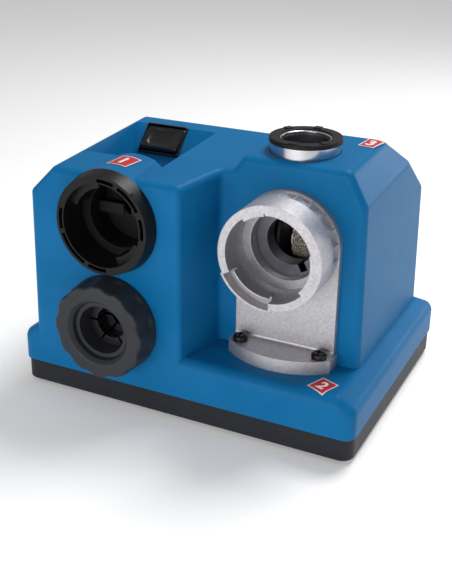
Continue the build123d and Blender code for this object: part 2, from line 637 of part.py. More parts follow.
def make_wheel_screw():
    """Cross-head screw along the spindle, holding the washer."""
    screw = pan_screw(SCREW_HEAD_R, SCREW_HEAD_H, SCREW_R, 16)
    return Pos(WHEEL_X1 - 1, SPINDLE_Y, SPINDLE_Z) * Rot(0, 90, 0) * screw


def make_wheel_guard():
    """Dust drum round the wheel on a stand, open where the two ports look in."""
    outer_r = GUARD_R + GUARD_WALL
    rim = tube_x(SPINDLE_Y, SPINDLE_Z, GUARD_X0, GUARD_X1, outer_r, GUARD_R)
    rim -= box(-FAR, FAR, -FAR, SPINDLE_Y + 5, SPINDLE_Z - 14, FAR)
    side = tube_x(SPINDLE_Y, SPINDLE_Z, GUARD_X0, GUARD_X0 + GUARD_WALL, outer_r, HUB_R + 5)
    drum = rim + side - rod_z(SPLIT_AXIS_X, SPLIT_Y, SPLIT_BOTTOM_Z - 1.5, FAR, SPLIT_TUBE_R + 1)
    stand = box(GUARD_X0, GUARD_X0 + 14, -34, 34, TRAY_FLOOR_Z, TRAY_FLOOR_Z + 3)
    for y in (-26, 26):
        stand += box(GUARD_X0, GUARD_X0 + 14, y - 4, y + 4, TRAY_FLOOR_Z, SPINDLE_Z - 22)
    guard = drum + (stand - rod_x(SPINDLE_Y, SPINDLE_Z, GUARD_X0 - 1, GUARD_X1 + 1, GUARD_R + 0.5))
    for x, y in tray_screw_points():
        guard -= rod_z(x, y, 0, TRAY_FLOOR_Z + 3.5, SCREW_R + FIT_GAP)
    return guard - rod_x(SPINDLE_Y - 32, SPINDLE_Z + 5.5, GUARD_X0 - 1, GUARD_X0 + 3, 1.8)


def make_motor_cradle():
    """Moulded pedestal that carries the motor."""
    seat = rod_x(SPINDLE_Y, SPINDLE_Z, -FAR, FAR, CAN_R)
    cradle = box(CRADLE_X[0], CRADLE_X[1], -34, 34, TRAY_FLOOR_Z, TRAY_FLOOR_Z + 4)
    for x in CRADLE_X:
        cradle += box(x - 3, x + 3, -22, 22, TRAY_FLOOR_Z, SPINDLE_Z - 8)
    cradle += box(CRADLE_X[0], CRADLE_X[1], -2, 2, TRAY_FLOOR_Z, SPINDLE_Z - CAN_R + 1)
    for y in (-28, 28):
        for x in (CRADLE_X[0] + 8, CRADLE_X[1] - 8):
            cradle -= rod_z(x, y, 0, 30, SCREW_R + FIT_GAP)
    ears = STRAP_SCREW_Y + SCREW_HEAD_R
    cradle += box(CRADLE_X[1] - 3, CRADLE_X[1] + 3, -ears, ears, SPINDLE_Z - 20, SPINDLE_Z - 8)
    for y in (-STRAP_SCREW_Y, STRAP_SCREW_Y):
        cradle -= rod_z(CRADLE_X[1], y, SPINDLE_Z - 17, FAR, SCREW_R)
    return cradle - seat


def make_motor_strap():
    """Steel band over the motor, screwed to the cradle's ears."""
    band = tube_x(SPINDLE_Y, SPINDLE_Z, CRADLE_X[1] - 3, CRADLE_X[1] + 3, CAN_R + 1.5, CAN_R)
    band &= box(-FAR, FAR, -FAR, FAR, SPINDLE_Z - 8, FAR)
    for side in (-1, 1):
        low, high = sorted((side * (CAN_R - 0.8), side * 34.5))
        ear = box(CRADLE_X[1] - 3, CRADLE_X[1] + 3, low, high, SPINDLE_Z - 8, SPINDLE_Z - 6.5)
        ear -= rod_x(SPINDLE_Y, SPINDLE_Z, -FAR, FAR, CAN_R)
        band += ear
        band -= rod_z(CRADLE_X[1], side * STRAP_SCREW_Y, SPINDLE_Z - 12, SPINDLE_Z, SCREW_R + FIT_GAP)
    return band


def make_strap_screws():
    """Two screws through the strap's ears."""
    screw = pan_screw(SCREW_HEAD_R, SCREW_HEAD_H, SCREW_R, 8)
    return Compound([Pos(CRADLE_X[1], y, SPINDLE_Z - 6.5) * screw for y in (-STRAP_SCREW_Y, STRAP_SCREW_Y)])


def make_tray_screws():
    """Screws that hold the cradle and the wheel guard to the tray."""
    screw = pan_screw(SCREW_HEAD_R, SCREW_HEAD_H, SCREW_R, 5)
    screws = []
    for x, y in tray_screw_points():
        seat = TRAY_FLOOR_Z + (3 if x > CRADLE_X[1] else 4)
        screws.append(Pos(x, y, seat) * screw)
    return Compound(screws)


def tray_screw_points():
    """Where the cradle's four screws and the guard's two stand."""
    cradle = [(x, y) for y in (-28, 28) for x in (CRADLE_X[0] + 8, CRADLE_X[1] - 8)]
    return cradle + [(GUARD_X0 + 7, y) for y in (-15, 15)]


def make_brush_holders():
    """Two brush holders, screwed in the can's rear end."""
    holders = []
    for side in (-1, 1):
        low, high = sorted((side * (COMMUTATOR_R + 1), side * (CAN_R - CAN_WALL - 0.6)))
        holder = box(COMMUTATOR_X[0] + 1, COMMUTATOR_X[1] - 1, -3.5, 3.5, SPINDLE_Z + low, SPINDLE_Z + high)
        bore = box(COMMUTATOR_X[0] + 2, COMMUTATOR_X[1] - 2, -2.5, 2.5, SPINDLE_Z + low - 1, SPINDLE_Z + high - 1.5)
        if side < 0:
            bore = box(COMMUTATOR_X[0] + 2, COMMUTATOR_X[1] - 2, -2.5, 2.5, SPINDLE_Z + low + 1.5, SPINDLE_Z + high + 1)
        holders.append(holder - bore)
    return Compound(holders)


def make_brushes():
    """Two carbon brushes, just clear of the commutator."""
    brushes = []
    for side in (-1, 1):
        low, high = sorted((side * (COMMUTATOR_R + 0.2), side * (COMMUTATOR_R + 9)))
        brushes.append(box(COMMUTATOR_X[0] + 2, COMMUTATOR_X[1] - 2, -2.5, 2.5, SPINDLE_Z + low, SPINDLE_Z + high))
    return Compound(brushes)


# ---------------------------------------------------------------- sharpening port
PLATE_Y = TOWER_Y - BRACKET_PLATE
RIM_Y = PLATE_Y - TUBE_LENGTH
FLOOR_Y = RIM_Y + TUBE_FLOOR_DEPTH


def make_port_bracket():
    """Cast bracket: foot, plate and a short tube with guide lips in its rim."""
    plate = rod_y(PORT_X, SHARPEN_Z, PLATE_Y, TOWER_Y, BRACKET_R)
    plate += box(PORT_X - BRACKET_R, PORT_X + BRACKET_R, PLATE_Y, TOWER_Y, LEDGE_TOP_Z, SHARPEN_Z)
    half = FOOT_WIDTH / 2
    arc_r = (half ** 2 + FOOT_SAG ** 2) / (2 * FOOT_SAG)
    side_y = PLATE_Y - FOOT_SIDE
    foot_y = side_y - FOOT_SAG - 1
    foot = box(PORT_X - half, PORT_X + half, foot_y, TOWER_Y, LEDGE_TOP_Z, LEDGE_TOP_Z + FOOT_THICK)
    foot &= rod_z(PORT_X, side_y - FOOT_SAG + arc_r, 0, FAR, arc_r)
    bracket = plate + foot
    root = bracket.edges().filter_by(Axis.X).filter_by(
        lambda e: abs(e.center().Y - PLATE_Y) < 0.1 and abs(e.center().Z - LEDGE_TOP_Z - FOOT_THICK) < 0.1)
    bracket = fillet(root, BRACKET_ROOT_R)
    tube = rod_y(PORT_X, SHARPEN_Z, RIM_Y, PLATE_Y, BRACKET_R - 0.3)
    lug = sector_y(PORT_X, SHARPEN_Z, RIM_Y, RIM_Y + 14, BRACKET_R + 1.0, 30, -155, -87)
    bracket = bracket + tube + lug
    for i in range(6):
        x, z = around_y(PORT_X, SHARPEN_Z, BRACKET_R + 4.5, 2 + i * 17)
        bracket -= rod_y(x, z, PLATE_Y - 11.5, PLATE_Y - 1.2, 7.3)
    bracket -= rod_y(PORT_X, SHARPEN_Z, RIM_Y - 1, FLOOR_Y, TUBE_BORE_R)
    bracket -= rod_y(PORT_X, SHARPEN_Z, FLOOR_Y - 1, TOWER_Y + 1, TUBE_INNER_R)
    lips = sector_y(PORT_X, SHARPEN_Z, RIM_Y, RIM_Y + 4, TUBE_BORE_R + 1, 29.2, 14, 97)
    lips += sector_y(PORT_X, SHARPEN_Z, RIM_Y, RIM_Y + 4, TUBE_BORE_R + 1, 28.2, -42, 15)
    lips += sector_y(PORT_X, SHARPEN_Z, RIM_Y, RIM_Y + 4, TUBE_BORE_R + 1, 28.6, 98, 128)
    bracket += lips
    groove = sector_y(PORT_X, SHARPEN_Z, RIM_Y - 1, RIM_Y + 9, 35.8, 28.5, -153, -89)
    bracket = bracket - groove
    bracket += sector_y(PORT_X, SHARPEN_Z, RIM_Y + 1, RIM_Y + 12, 28.5, 27.5, -152, -90)
    bracket += sector_y(PORT_X, SHARPEN_Z, RIM_Y + 8, RIM_Y + 12, TUBE_BORE_R + 1, 28.4, -152, -90)
    for x, y in bracket_screw_points():
        bracket -= rod_z(x, y, 0, LEDGE_TOP_Z + FOOT_THICK + 1, BRACKET_SCREW_R + FIT_GAP)
    return bracket


def bracket_screw_points():
    """Where the foot's two screws stand."""
    return [(PORT_X + side * BRACKET_SCREW_X, BRACKET_SCREW_AT_Y) for side in (-1, 1)]


def make_bracket_screws():
    """Two cross-head screws through the bracket's foot."""
    screw = pan_screw(BRACKET_HEAD_R, BRACKET_HEAD_H, BRACKET_SCREW_R, 22)
    seat = LEDGE_TOP_Z + FOOT_THICK
    return Compound([Pos(x, y, seat) * screw for x, y in bracket_screw_points()])


def make_bracket_nuts():
    """Two hexagon nuts under the plinth's top."""
    top = LEDGE_TOP_Z - WALL
    nuts = []
    for x, y in bracket_screw_points():
        hexagon = extrude(Plane((x, y, top - 4)) * RegularPolygon(4.6, 6), amount=4)
        nuts.append(hexagon - rod_z(x, y, 0, FAR, BRACKET_SCREW_R))
    return Compound(nuts)


def sleeve_slot(grow):
    """The slot beside the guide collar, which the housing's front has too."""
    angle, half = SLEEVE_SLOT
    slot = box(SLEEVE_R - 2, TUBE_INNER_R - 2 + grow, TOWER_Y - 6, TOWER_Y + 20, -half - grow, half + grow)
    return Pos(PORT_X, 0, SHARPEN_Z) * Rot(0, angle, 0) * slot


def make_port_sleeve():
    """Steel disc behind the bracket, with a slotted guide collar for the bit's tip."""
    end_y = SPINDLE_Y - GUARD_R - GUARD_WALL - SLEEVE_GAP
    disc = rod_y(PORT_X, SHARPEN_Z, TOWER_Y + FIT_GAP, TOWER_Y + SLEEVE_SEAT, SLEEVE_DISC_R)
    collar = rod_y(PORT_X, SHARPEN_Z, TOWER_Y + FIT_GAP, end_y, SLEEVE_R + SLEEVE_WALL)
    sleeve = disc + collar - rod_y(PORT_X, SHARPEN_Z, TOWER_Y - 6, TOWER_Y + 20, SLEEVE_R)
    return sleeve - sleeve_slot(0)


# ---------------------------------------------------------------- setting port
SETTING_RIM_Y = FRONT_Y - SETTING_PROUD
STEP_Y = SETTING_RIM_Y + SETTING_STEP_DEPTH
SPIGOT_R = SETTING_BORE_R + 1.5
CUP_R = SPIGOT_R + FIT_GAP + 1.8
CUP_BACK_Y = POCKET_Y0 - WALL
SEAT_BACK_Y = STEP_Y + 9.5


def make_setting_ring():
    """Black ring: tapered outside, slots in its rim and two lips in its bore."""
    ring = cone_y(LEFT_X, SETTING_Z, SETTING_RIM_Y, FRONT_Y, SETTING_RIM_R, SETTING_BASE_R)
    ring += rod_y(LEFT_X, SETTING_Z, FRONT_Y, STEP_Y, SPIGOT_R)
    ring -= rod_y(LEFT_X, SETTING_Z, SETTING_RIM_Y - 1, STEP_Y + 1, SETTING_BORE_R)
    slots = [(-8, 18), (27, 64), (70, 93), (165, 192), (198, 244), (250, 276)]
    inner, outer = SETTING_SLOT
    for start, end in slots:
        ring -= sector_y(LEFT_X, SETTING_Z, SETTING_RIM_Y - 1, SETTING_RIM_Y + 8, outer, inner, start, end)
    for start, end in ((100, 157), (-74, -28)):
        lip_y = SETTING_RIM_Y + SETTING_LIP_DEPTH
        ring += sector_y(LEFT_X, SETTING_Z, lip_y, STEP_Y, SETTING_BORE_R + 0.5, SETTING_LIP_R, start, end)
    x, z = around_y(LEFT_X, SETTING_Z, SETTING_RIM_R - 0.1, SETTING_PIP_ANGLE)
    return ring + rod_y(x, z, SETTING_RIM_Y + 0.4, SETTING_RIM_Y + 3.2, 0.9)


def make_setting_cup():
    """Cup behind the ring: a stepped floor, two spring tabs and a forked stop."""
    cup = tube_y(LEFT_X, SETTING_Z, INNER_FRONT_Y, STEP_Y, CUP_R, SPIGOT_R + FIT_GAP)
    cup += tube_y(LEFT_X, SETTING_Z, STEP_Y, STEP_Y + 2.2, CUP_R, SETTING_CAVITY_R)
    cup += tube_y(LEFT_X, SETTING_Z, STEP_Y + 2.2, SEAT_BACK_Y, SETTING_CAVITY_R + 2, SETTING_CAVITY_R)
    cup += tube_y(LEFT_X, SETTING_Z, SEAT_BACK_Y, CUP_BACK_Y, SETTING_CAVITY_R + 2, SETTING_CAVITY_R + 0.7)
    cup += rod_y(LEFT_X, SETTING_Z, CUP_BACK_Y - 2, CUP_BACK_Y, SETTING_CAVITY_R + 2)
    cup -= rod_y(LEFT_X, SETTING_Z, CUP_BACK_Y - 3, CUP_BACK_Y + 1, BIT_BORE_R + 1.5)
    for x, z in setting_screw_points():
        cup += rod_y(x, z, INNER_FRONT_Y, INNER_FRONT_Y + 4, 4.6)
        cup -= rod_y(x, z, INNER_FRONT_Y - 1, INNER_FRONT_Y + 5, SCREW_R)
    for angle in (-62, -38):
        slit = Pos(LEFT_X, 0, SETTING_Z) * Rot(0, -angle, 0)
        cup -= slit * box(SETTING_CAVITY_R - 3, SETTING_CAVITY_R + 6, STEP_Y + 4, CUP_BACK_Y - 4, -1.4, 1.4)
    slot_x0, slot_x1 = LEFT_X - SPIGOT_R, LEFT_X + SPIGOT_R
    cup -= box(slot_x0, slot_x1, INNER_FRONT_Y - 1, STEP_Y - 2, SETTING_Z - 3, SETTING_Z + 3)
    return cup


def make_setting_pawls():
    """Two sprung pawls that the flutes of the bit rest against."""
    pawls = []
    for side in (-1, 1):
        x0, x1 = sorted((LEFT_X + side * 3.0, LEFT_X + side * (SETTING_CAVITY_R - 0.5)))
        pawls.append(box(x0, x1, CUP_BACK_Y - 12, CUP_BACK_Y - 11, SETTING_Z - 4, SETTING_Z + 4))
    return Compound(pawls)


def setting_screw_points():
    """Where the cup's four ears are."""
    return [around_y(LEFT_X, SETTING_Z, CUP_R + 4.2, angle) for angle in (20, 160, 235, 305)]


def make_setting_screws():
    """Four screws through the cup's ears into the housing's front."""
    screw = Rot(-90, 0, 0) * pan_screw(SCREW_HEAD_R, SCREW_HEAD_H, SCREW_R, 6)
    return Compound([Pos(x, INNER_FRONT_Y + 4, z) * screw for x, z in setting_screw_points()])


# ---------------------------------------------------------------- chuck
COLLAR_BACK_Y = FRONT_Y - COLLAR_GAP
COLLAR_FRONT_Y = COLLAR_BACK_Y - COLLAR_LENGTH
CHUCK_END_Y = COLLAR_BACK_Y + CHUCK_BODY_LENGTH


def make_chuck_socket():
    """Storage cup behind the housing's front, stepped for the chuck's cams."""
    mouth_r = CHUCK_CAM_R + 1.6
    bore = CHUCK_BODY_R + 0.8
    step_y = INNER_FRONT_Y + 8
    end_y = CHUCK_END_Y + 2
    cup = rod_y(LEFT_X, CHUCK_Z, INNER_FRONT_Y, INNER_FRONT_Y + 2.4, mouth_r + 11)
    cup += rod_y(LEFT_X, CHUCK_Z, INNER_FRONT_Y, step_y + SOCKET_WALL, mouth_r + SOCKET_WALL)
    cup += rod_y(LEFT_X, CHUCK_Z, step_y, end_y + SOCKET_WALL, bore + SOCKET_WALL)
    cup -= rod_y(LEFT_X, CHUCK_Z, INNER_FRONT_Y - 1, step_y, mouth_r)
    cup -= rod_y(LEFT_X, CHUCK_Z, step_y - 1, end_y, bore)
    for x, z in socket_screw_points():
        cup -= rod_y(x, z, INNER_FRONT_Y - 1, INNER_FRONT_Y + 3, SCREW_R)
    return cup


def socket_screw_points():
    """Where the socket's four screws are."""
    ring_r = CHUCK_CAM_R + 1.6 + SOCKET_WALL + SCREW_HEAD_R + 0.6
    return [around_y(LEFT_X, CHUCK_Z, ring_r, angle) for angle in (45, 135, 225, 315)]


def make_socket_screws():
    """Four screws that hold the socket to the housing's front."""
    screw = Rot(-90, 0, 0) * pan_screw(SCREW_HEAD_R, SCREW_HEAD_H, SCREW_R, 4.4)
    return Compound([Pos(x, INNER_FRONT_Y + 2.4, z) * screw for x, z in socket_screw_points()])


def make_chuck_collar():
    """Scalloped knob on the chuck's back end."""
    collar = cone_y(LEFT_X, CHUCK_Z, COLLAR_FRONT_Y, COLLAR_BACK_Y, COLLAR_R, COLLAR_BACK_R)
    collar = chamfer(collar.edges().group_by(Axis.Y)[0], 1.6)
    for i in range(SCALLOPS):
        x, z = around_y(LEFT_X, CHUCK_Z, COLLAR_R + 13.6, 15 + i * 360 / SCALLOPS)
        collar -= rod_y(x, z, COLLAR_FRONT_Y - 1, COLLAR_BACK_Y - 3, 15)
    collar -= rod_y(LEFT_X, CHUCK_Z, COLLAR_FRONT_Y - 1, COLLAR_BACK_Y - 5, COLLAR_BORE_R)
    mouth_y = COLLAR_FRONT_Y - 0.01
    collar -= cone_y(LEFT_X, CHUCK_Z, mouth_y, COLLAR_FRONT_Y + 3, COLLAR_MOUTH_R, COLLAR_BORE_R)
    return collar - rod_y(LEFT_X, CHUCK_Z, COLLAR_BACK_Y - 6, COLLAR_BACK_Y + 1, CHUCK_BODY_R + FIT_GAP)


def make_chuck_body():
    """Chuck body: a taper-bored sleeve with two cams and a hub inside the collar."""
    hub_y = COLLAR_BACK_Y - 14
    body = rod_y(LEFT_X, CHUCK_Z, COLLAR_BACK_Y - 4.6, CHUCK_END_Y, CHUCK_BODY_R)
    body += rod_y(LEFT_X, CHUCK_Z, hub_y, COLLAR_BACK_Y, COLLAR_BORE_R - FIT_GAP)
    cam_y0, cam_y1 = COLLAR_BACK_Y + 1.5, COLLAR_BACK_Y + 9
    for start in (20, 200):
        body += sector_y(LEFT_X, CHUCK_Z, cam_y0, cam_y1, CHUCK_CAM_R, 20, start, start + 70)
    body -= rod_y(LEFT_X, CHUCK_Z, hub_y - 1, CHUCK_END_Y - 12, COLLET_R + FIT_GAP)
    body -= cone_y(LEFT_X, CHUCK_Z, CHUCK_END_Y - 12.01, CHUCK_END_Y + 0.01, COLLET_R + FIT_GAP, 10.3)
    return body


def make_collet():
    """Six-fingered collet in the chuck body."""
    start_y = CHUCK_END_Y - 3 - COLLET_LENGTH
    collet = rod_y(LEFT_X, CHUCK_Z, start_y, CHUCK_END_Y - 14.5, COLLET_R)
    collet += cone_y(LEFT_X, CHUCK_Z, CHUCK_END_Y - 14.5, CHUCK_END_Y - 3, COLLET_R, 10.6)
    collet -= rod_y(LEFT_X, CHUCK_Z, start_y - 1, start_y + 12, 11.5)
    collet -= rod_y(LEFT_X, CHUCK_Z, start_y - 1, CHUCK_END_Y + 1, BIT_BORE_R)
    for i in range(COLLET_FINGERS):
        slit = Pos(LEFT_X, 0, CHUCK_Z) * Rot(0, i * 360 / COLLET_FINGERS, 0)
        collet -= slit * box(0, 30, start_y - 1, CHUCK_END_Y - 10, -0.8, 0.8)
    return collet


# ---------------------------------------------------------------- split-point port
SPLIT_TOP_Z = SPLIT_BASE_Z + SPLIT_PROUD
SPLIT_BOTTOM_Z = SPINDLE_Z + WHEEL_R + 5.5
SPLIT_FLANGE_Z = SPLIT_BASE_Z - 12


def make_split_tube():
    """Steel tube through the tower's top, with a flange that its clamp holds."""
    tube = tube_z(SPLIT_AXIS_X, SPLIT_Y, SPLIT_BOTTOM_Z, SPLIT_TOP_Z, SPLIT_TUBE_R, SPLIT_TUBE_BORE_R)
    z = SPLIT_FLANGE_Z
    flange = tube_z(SPLIT_AXIS_X, SPLIT_Y, z, z + 3, SPLIT_FLANGE_R, SPLIT_TUBE_R - 1)
    return tube + (flange & behind_tower_wall())


def behind_tower_wall():
    """Everything inside the tower's front wall."""
    return box(-FAR, FAR, TOWER_Y + WALL + FIT_GAP, FAR, 0, FAR)


def make_split_ring():
    """Black guide ring on the tube, with a stepped bore and two small dogs."""
    z = SPLIT_TOP_Z
    ring = tube_z(SPLIT_AXIS_X, SPLIT_Y, z, z + SPLIT_RING_H, SPLIT_RING_R, SPLIT_RING_BORE_R)
    ring = chamfer(ring.edges().group_by(Axis.Z)[-1], 0.5)
    for angle in (62, 118, 242, 298):
        at = Pos(SPLIT_AXIS_X, SPLIT_Y, z + SPLIT_RING_H - 1) * Rot(0, 0, angle + 27)
        ring += at * box(SPLIT_RING_BORE_R + 1.6, SPLIT_RING_R - 0.8, -2.6, 2.6, 0, 1.7)
    return ring


def make_split_clamp():
    """Clamp plate that holds the tube's flange up against the housing's collar."""
    z = SPLIT_FLANGE_Z - 3
    plate = tube_z(SPLIT_AXIS_X, SPLIT_Y, z, z + 3, SPLIT_SCREW_R + 4.5, SPLIT_TUBE_R + FIT_GAP)
    for x, y in split_screw_points():
        plate -= rod_z(x, y, z - 1, z + 4, SCREW_R + FIT_GAP)
    return plate & behind_tower_wall()


def split_screw_points():
    """Where the clamp's three screws stand."""
    places = []
    for angle in (20, 90, 160):
        turn = radians(angle)
        places.append((SPLIT_AXIS_X + SPLIT_SCREW_R * cos(turn), SPLIT_Y + SPLIT_SCREW_R * sin(turn)))
    return places


def make_split_screws():
    """Three screws up through the clamp plate into the housing's bosses."""
    screw = Rot(180, 0, 0) * pan_screw(SCREW_HEAD_R, SCREW_HEAD_H, SCREW_R, 7)
    return Compound([Pos(x, y, SPLIT_FLANGE_Z - 3) * screw for x, y in split_screw_points()])


def split_mount():
    """What the housing has for port 3: a collar over the flange and three screw bosses."""
    low_z, top_z = SPLIT_FLANGE_Z + 3, SPLIT_BASE_Z - 1.5
    mount = tube_z(SPLIT_AXIS_X, SPLIT_Y, low_z, top_z, SPLIT_FLANGE_R, SPLIT_TUBE_R + FIT_GAP)
    mount &= behind_tower_wall()
    for x, y in split_screw_points():
        mount += rod_z(x, y, SPLIT_FLANGE_Z, SPLIT_BASE_Z - 1.0, 4.0)
        mount -= rod_z(x, y, SPLIT_FLANGE_Z - 1, SPLIT_FLANGE_Z + 6, SCREW_R)
    return mount


# ---------------------------------------------------------------- switch
def make_switch_body():
    """Switch frame: bezel, and a body that hangs behind the ramp."""
    width, length, depth = SWITCH_BODY
    frame = Pos(0, 0, -BEZEL_PROUD / 2) * Box(BEZEL_WIDTH, BEZEL_LENGTH, BEZEL_PROUD)
    frame = fillet(frame.edges().filter_by(Axis.Z), 1.2)
    frame = chamfer(frame.edges().group_by(Axis.Z)[-1], 0.6)
    frame += Pos(0, 0, -BEZEL_PROUD - depth / 2) * Box(width, length, depth)
    room = Pos(0, 0, -6) * Box(ROCKER_WIDTH + 2 * FIT_GAP, 2 * ROCKER_R + 0.7, 13)
    return SWITCH_PLANE * (frame - room)


def make_rocker():
    """Rocker cap: a barrel about its pivot, cut by a dished top."""
    barrel = Pos(0, 0, -ROCKER_PIVOT) * Rot(0, 90, 0) * Cylinder(ROCKER_R, ROCKER_WIDTH)
    top = Pos(0, 0, 1.1) * Rot(-ROCKER_TILT, 0, 0) * Pos(0, 0, 20) * Box(60, 60, 40)
    under = Pos(0, 0, -ROCKER_PIVOT - 3 - 20) * Box(60, 60, 40)
    dish = Pos(0, 0, 1.1) * Rot(-ROCKER_TILT, 0, 0) * Pos(0, 0, 47) * Sphere(48)
    return SWITCH_PLANE * (barrel - top - under - dish)


def make_switch_tabs():
    """Three brass spade terminals under the switch."""
    z = -BEZEL_PROUD - SWITCH_BODY[2]
    return Compound([SWITCH_PLANE * (Pos(x, 0, z - 4) * Box(6.3, 0.8, 8)) for x in (-9, 0, 9)])


# ---------------------------------------------------------------- wiring and small parts
def make_cable_gland():
    """Gland in the rear wall where the mains lead enters."""
    y = REAR_Y + 1.6
    gland = rod_y(GLAND_X, GLAND_Z, y, y + 3, GLAND_R + 3)
    gland += rod_y(GLAND_X, GLAND_Z, y - 12, y, GLAND_R - FIT_GAP)
    return gland - rod_y(GLAND_X, GLAND_Z, y - 13, y + 4, 3.4)


def make_terminal_block():
    """Two-way terminal block on the tray's floor."""
    x, y = GLAND_X, 40
    block = box(x - 12, x + 12, y - 8, y + 8, TRAY_FLOOR_Z, TRAY_FLOOR_Z + 14)
    for dx in (-6, 6):
        block -= rod_y(x + dx, TRAY_FLOOR_Z + 7, y - 9, y + 9, 2.0)
        block -= rod_z(x + dx, y, TRAY_FLOOR_Z + 7, FAR, 2.2)
    return block


def make_circuit_board():
    """Rectifier board on four posts."""
    x, y, z = GLAND_X, 2, TRAY_FLOOR_Z + 6
    board = box(x - 20, x + 20, y - 22, y + 22, z, z + 1.6)
    for dx, dy in corners(16, 18):
        board += rod_z(x + dx, y + dy, TRAY_FLOOR_Z, z, 2.5)
    return board


def make_board_parts():
    """The board's components: a bridge, a capacitor, a choke and a fuse."""
    x, y, z = GLAND_X, 2, TRAY_FLOOR_Z + 7.6
    parts = [box(x - 15, x - 5, y + 6, y + 18, z, z + 8), rod_z(x + 9, y + 10, z, z + 18, 6.5),
             tube_z(x - 8, y - 10, z, z + 8, 8, 3.5), box(x + 4, x + 16, y - 16, y - 10, z, z + 6)]
    return Compound(parts)


def lead(points, bends, r=1.3):
    """A round lead of straight runs joined by arcs."""
    path = FilletPolyline(*points, radius=bends)
    start = Plane(origin=path @ 0, z_dir=path % 0)
    return sweep(start * Circle(r), path=path)


def make_mains_leads():
    """Live and neutral, from the gland down to the terminal block."""
    leads = []
    for dx in (-6, 6):
        x = GLAND_X + dx
        leads.append(lead([(GLAND_X + dx * 0.3, REAR_Y - 11, GLAND_Z), (x, REAR_Y - 24, GLAND_Z - 2),
                           (x, REAR_Y - 28, TRAY_FLOOR_Z + 7), (x, 46, TRAY_FLOOR_Z + 7)], 5))
    return Compound(leads)


def make_labels(outer):
    """The three port number plates: on the barrel, the plinth and the tower's top.

    Each is what a small upright block takes out of a thin skin over the housing.
    """
    two_x, two_y = HALF_W - LABEL_TWO_INSET[0], FRONT_Y + LABEL_TWO_INSET[1]
    places = [
        (LABEL_ONE, LABEL_ONE_TURN, LEFT_X + 0.6, FRONT_Y + LABEL_ONE_INSET, SETTING_Z + 30),
        (LABEL_TWO, LABEL_TWO_TURN, two_x, two_y, LEDGE_TOP_Z - 8),
        (LABEL_THREE, LABEL_THREE_TURN, HALF_W - LABEL_THREE_X, LABEL_THREE_Y, BODY_HEIGHT - 4),
    ]
    labels = []
    for (width, length), turn, x, y, low_z in places:
        block = Pos(x, y, low_z + 10) * Rot(0, 0, -turn) * Box(width, length, 20)
        labels += ((Pos(0, 0, LABEL_THICK) * (outer & block)) - outer).solids()
    return Compound(labels)


# ---------------------------------------------------------------- write every node
def main():
    """Builds every piece and writes one STEP each."""
    outer = outer_form()
    nodes = split_housing(make_housing(outer))
    nodes |= {
        "base_tray": make_base_tray(),
        "rubber_feet": make_rubber_feet(),
        "base_screws": make_base_screws(),
        "motor_can": make_motor_can(),
        "motor_rear_bell": make_bell(CAN_X0 - BELL_THICK, CAN_X0, 1),
        "motor_front_bell": make_bell(CAN_X1, CAN_X1 + BELL_THICK, -1),
        "motor_magnets": make_magnets(),
        "motor_bearings": make_bearings(),
        "brush_holders": make_brush_holders(),
        "carbon_brushes": make_brushes(),
        "motor_cradle": make_motor_cradle(),
        "motor_strap": make_motor_strap(),
        "strap_screws": make_strap_screws(),
        "tray_screws": make_tray_screws(),
        "spindle_shaft": make_shaft(),
        "armature_core": make_core(),
        "armature_windings": make_windings(),
        "commutator": make_commutator(),
        "cooling_fan": make_fan(),
        "wheel_hub": make_wheel_hub(),
        "diamond_wheel": make_diamond_wheel(),
        "wheel_washer": make_wheel_washer(),
        "wheel_screw": make_wheel_screw(),
        "wheel_guard": make_wheel_guard(),
        "port_bracket": make_port_bracket(),
        "bracket_screws": make_bracket_screws(),
        "bracket_nuts": make_bracket_nuts(),
        "port_sleeve": make_port_sleeve(),
        "setting_ring": make_setting_ring(),
        "setting_cup": make_setting_cup(),
        "setting_pawls": make_setting_pawls(),
        "setting_screws": make_setting_screws(),
        "chuck_socket": make_chuck_socket(),
        "socket_screws": make_socket_screws(),
        "chuck_collar": make_chuck_collar(),
        "chuck_body": make_chuck_body(),
        "chuck_collet": make_collet(),
        "split_tube": make_split_tube(),
        "split_ring": make_split_ring(),
        "split_clamp": make_split_clamp(),
        "split_screws": make_split_screws(),
        "switch_body": make_switch_body(),
        "switch_rocker": make_rocker(),
        "switch_tabs": make_switch_tabs(),
        "cable_gland": make_cable_gland(),
        "terminal_block": make_terminal_block(),
        "circuit_board": make_circuit_board(),
        "board_parts": make_board_parts(),
        "mains_leads": make_mains_leads(),
        "port_labels": make_labels(outer),
    }
    for name, shape in nodes.items():
        export(name, shape)


main()
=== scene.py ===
import logging
import math
from dataclasses import dataclass
from enum import Enum
from typing import Any, Callable, Optional, Sequence, Union

import bpy
import numpy as np
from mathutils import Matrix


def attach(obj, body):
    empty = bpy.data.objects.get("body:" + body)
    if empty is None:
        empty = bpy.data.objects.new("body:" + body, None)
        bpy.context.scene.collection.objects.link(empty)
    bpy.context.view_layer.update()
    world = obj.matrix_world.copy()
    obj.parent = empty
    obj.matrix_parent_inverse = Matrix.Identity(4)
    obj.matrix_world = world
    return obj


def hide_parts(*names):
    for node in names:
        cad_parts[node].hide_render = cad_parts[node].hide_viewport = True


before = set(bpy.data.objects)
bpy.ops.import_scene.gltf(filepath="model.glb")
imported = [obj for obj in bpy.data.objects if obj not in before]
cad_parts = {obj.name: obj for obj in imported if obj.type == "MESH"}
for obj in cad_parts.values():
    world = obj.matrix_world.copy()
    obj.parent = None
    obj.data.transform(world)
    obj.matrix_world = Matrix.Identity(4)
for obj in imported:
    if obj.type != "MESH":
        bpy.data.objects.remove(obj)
log = logging.getLogger("sharpener")

Rgb = tuple[float, float, float]
Point = tuple[float, float, float]
Heights = Callable[[np.ndarray, np.ndarray], np.ndarray]
MM = 0.001
BASE_FRONT_Y = -85.8 * MM


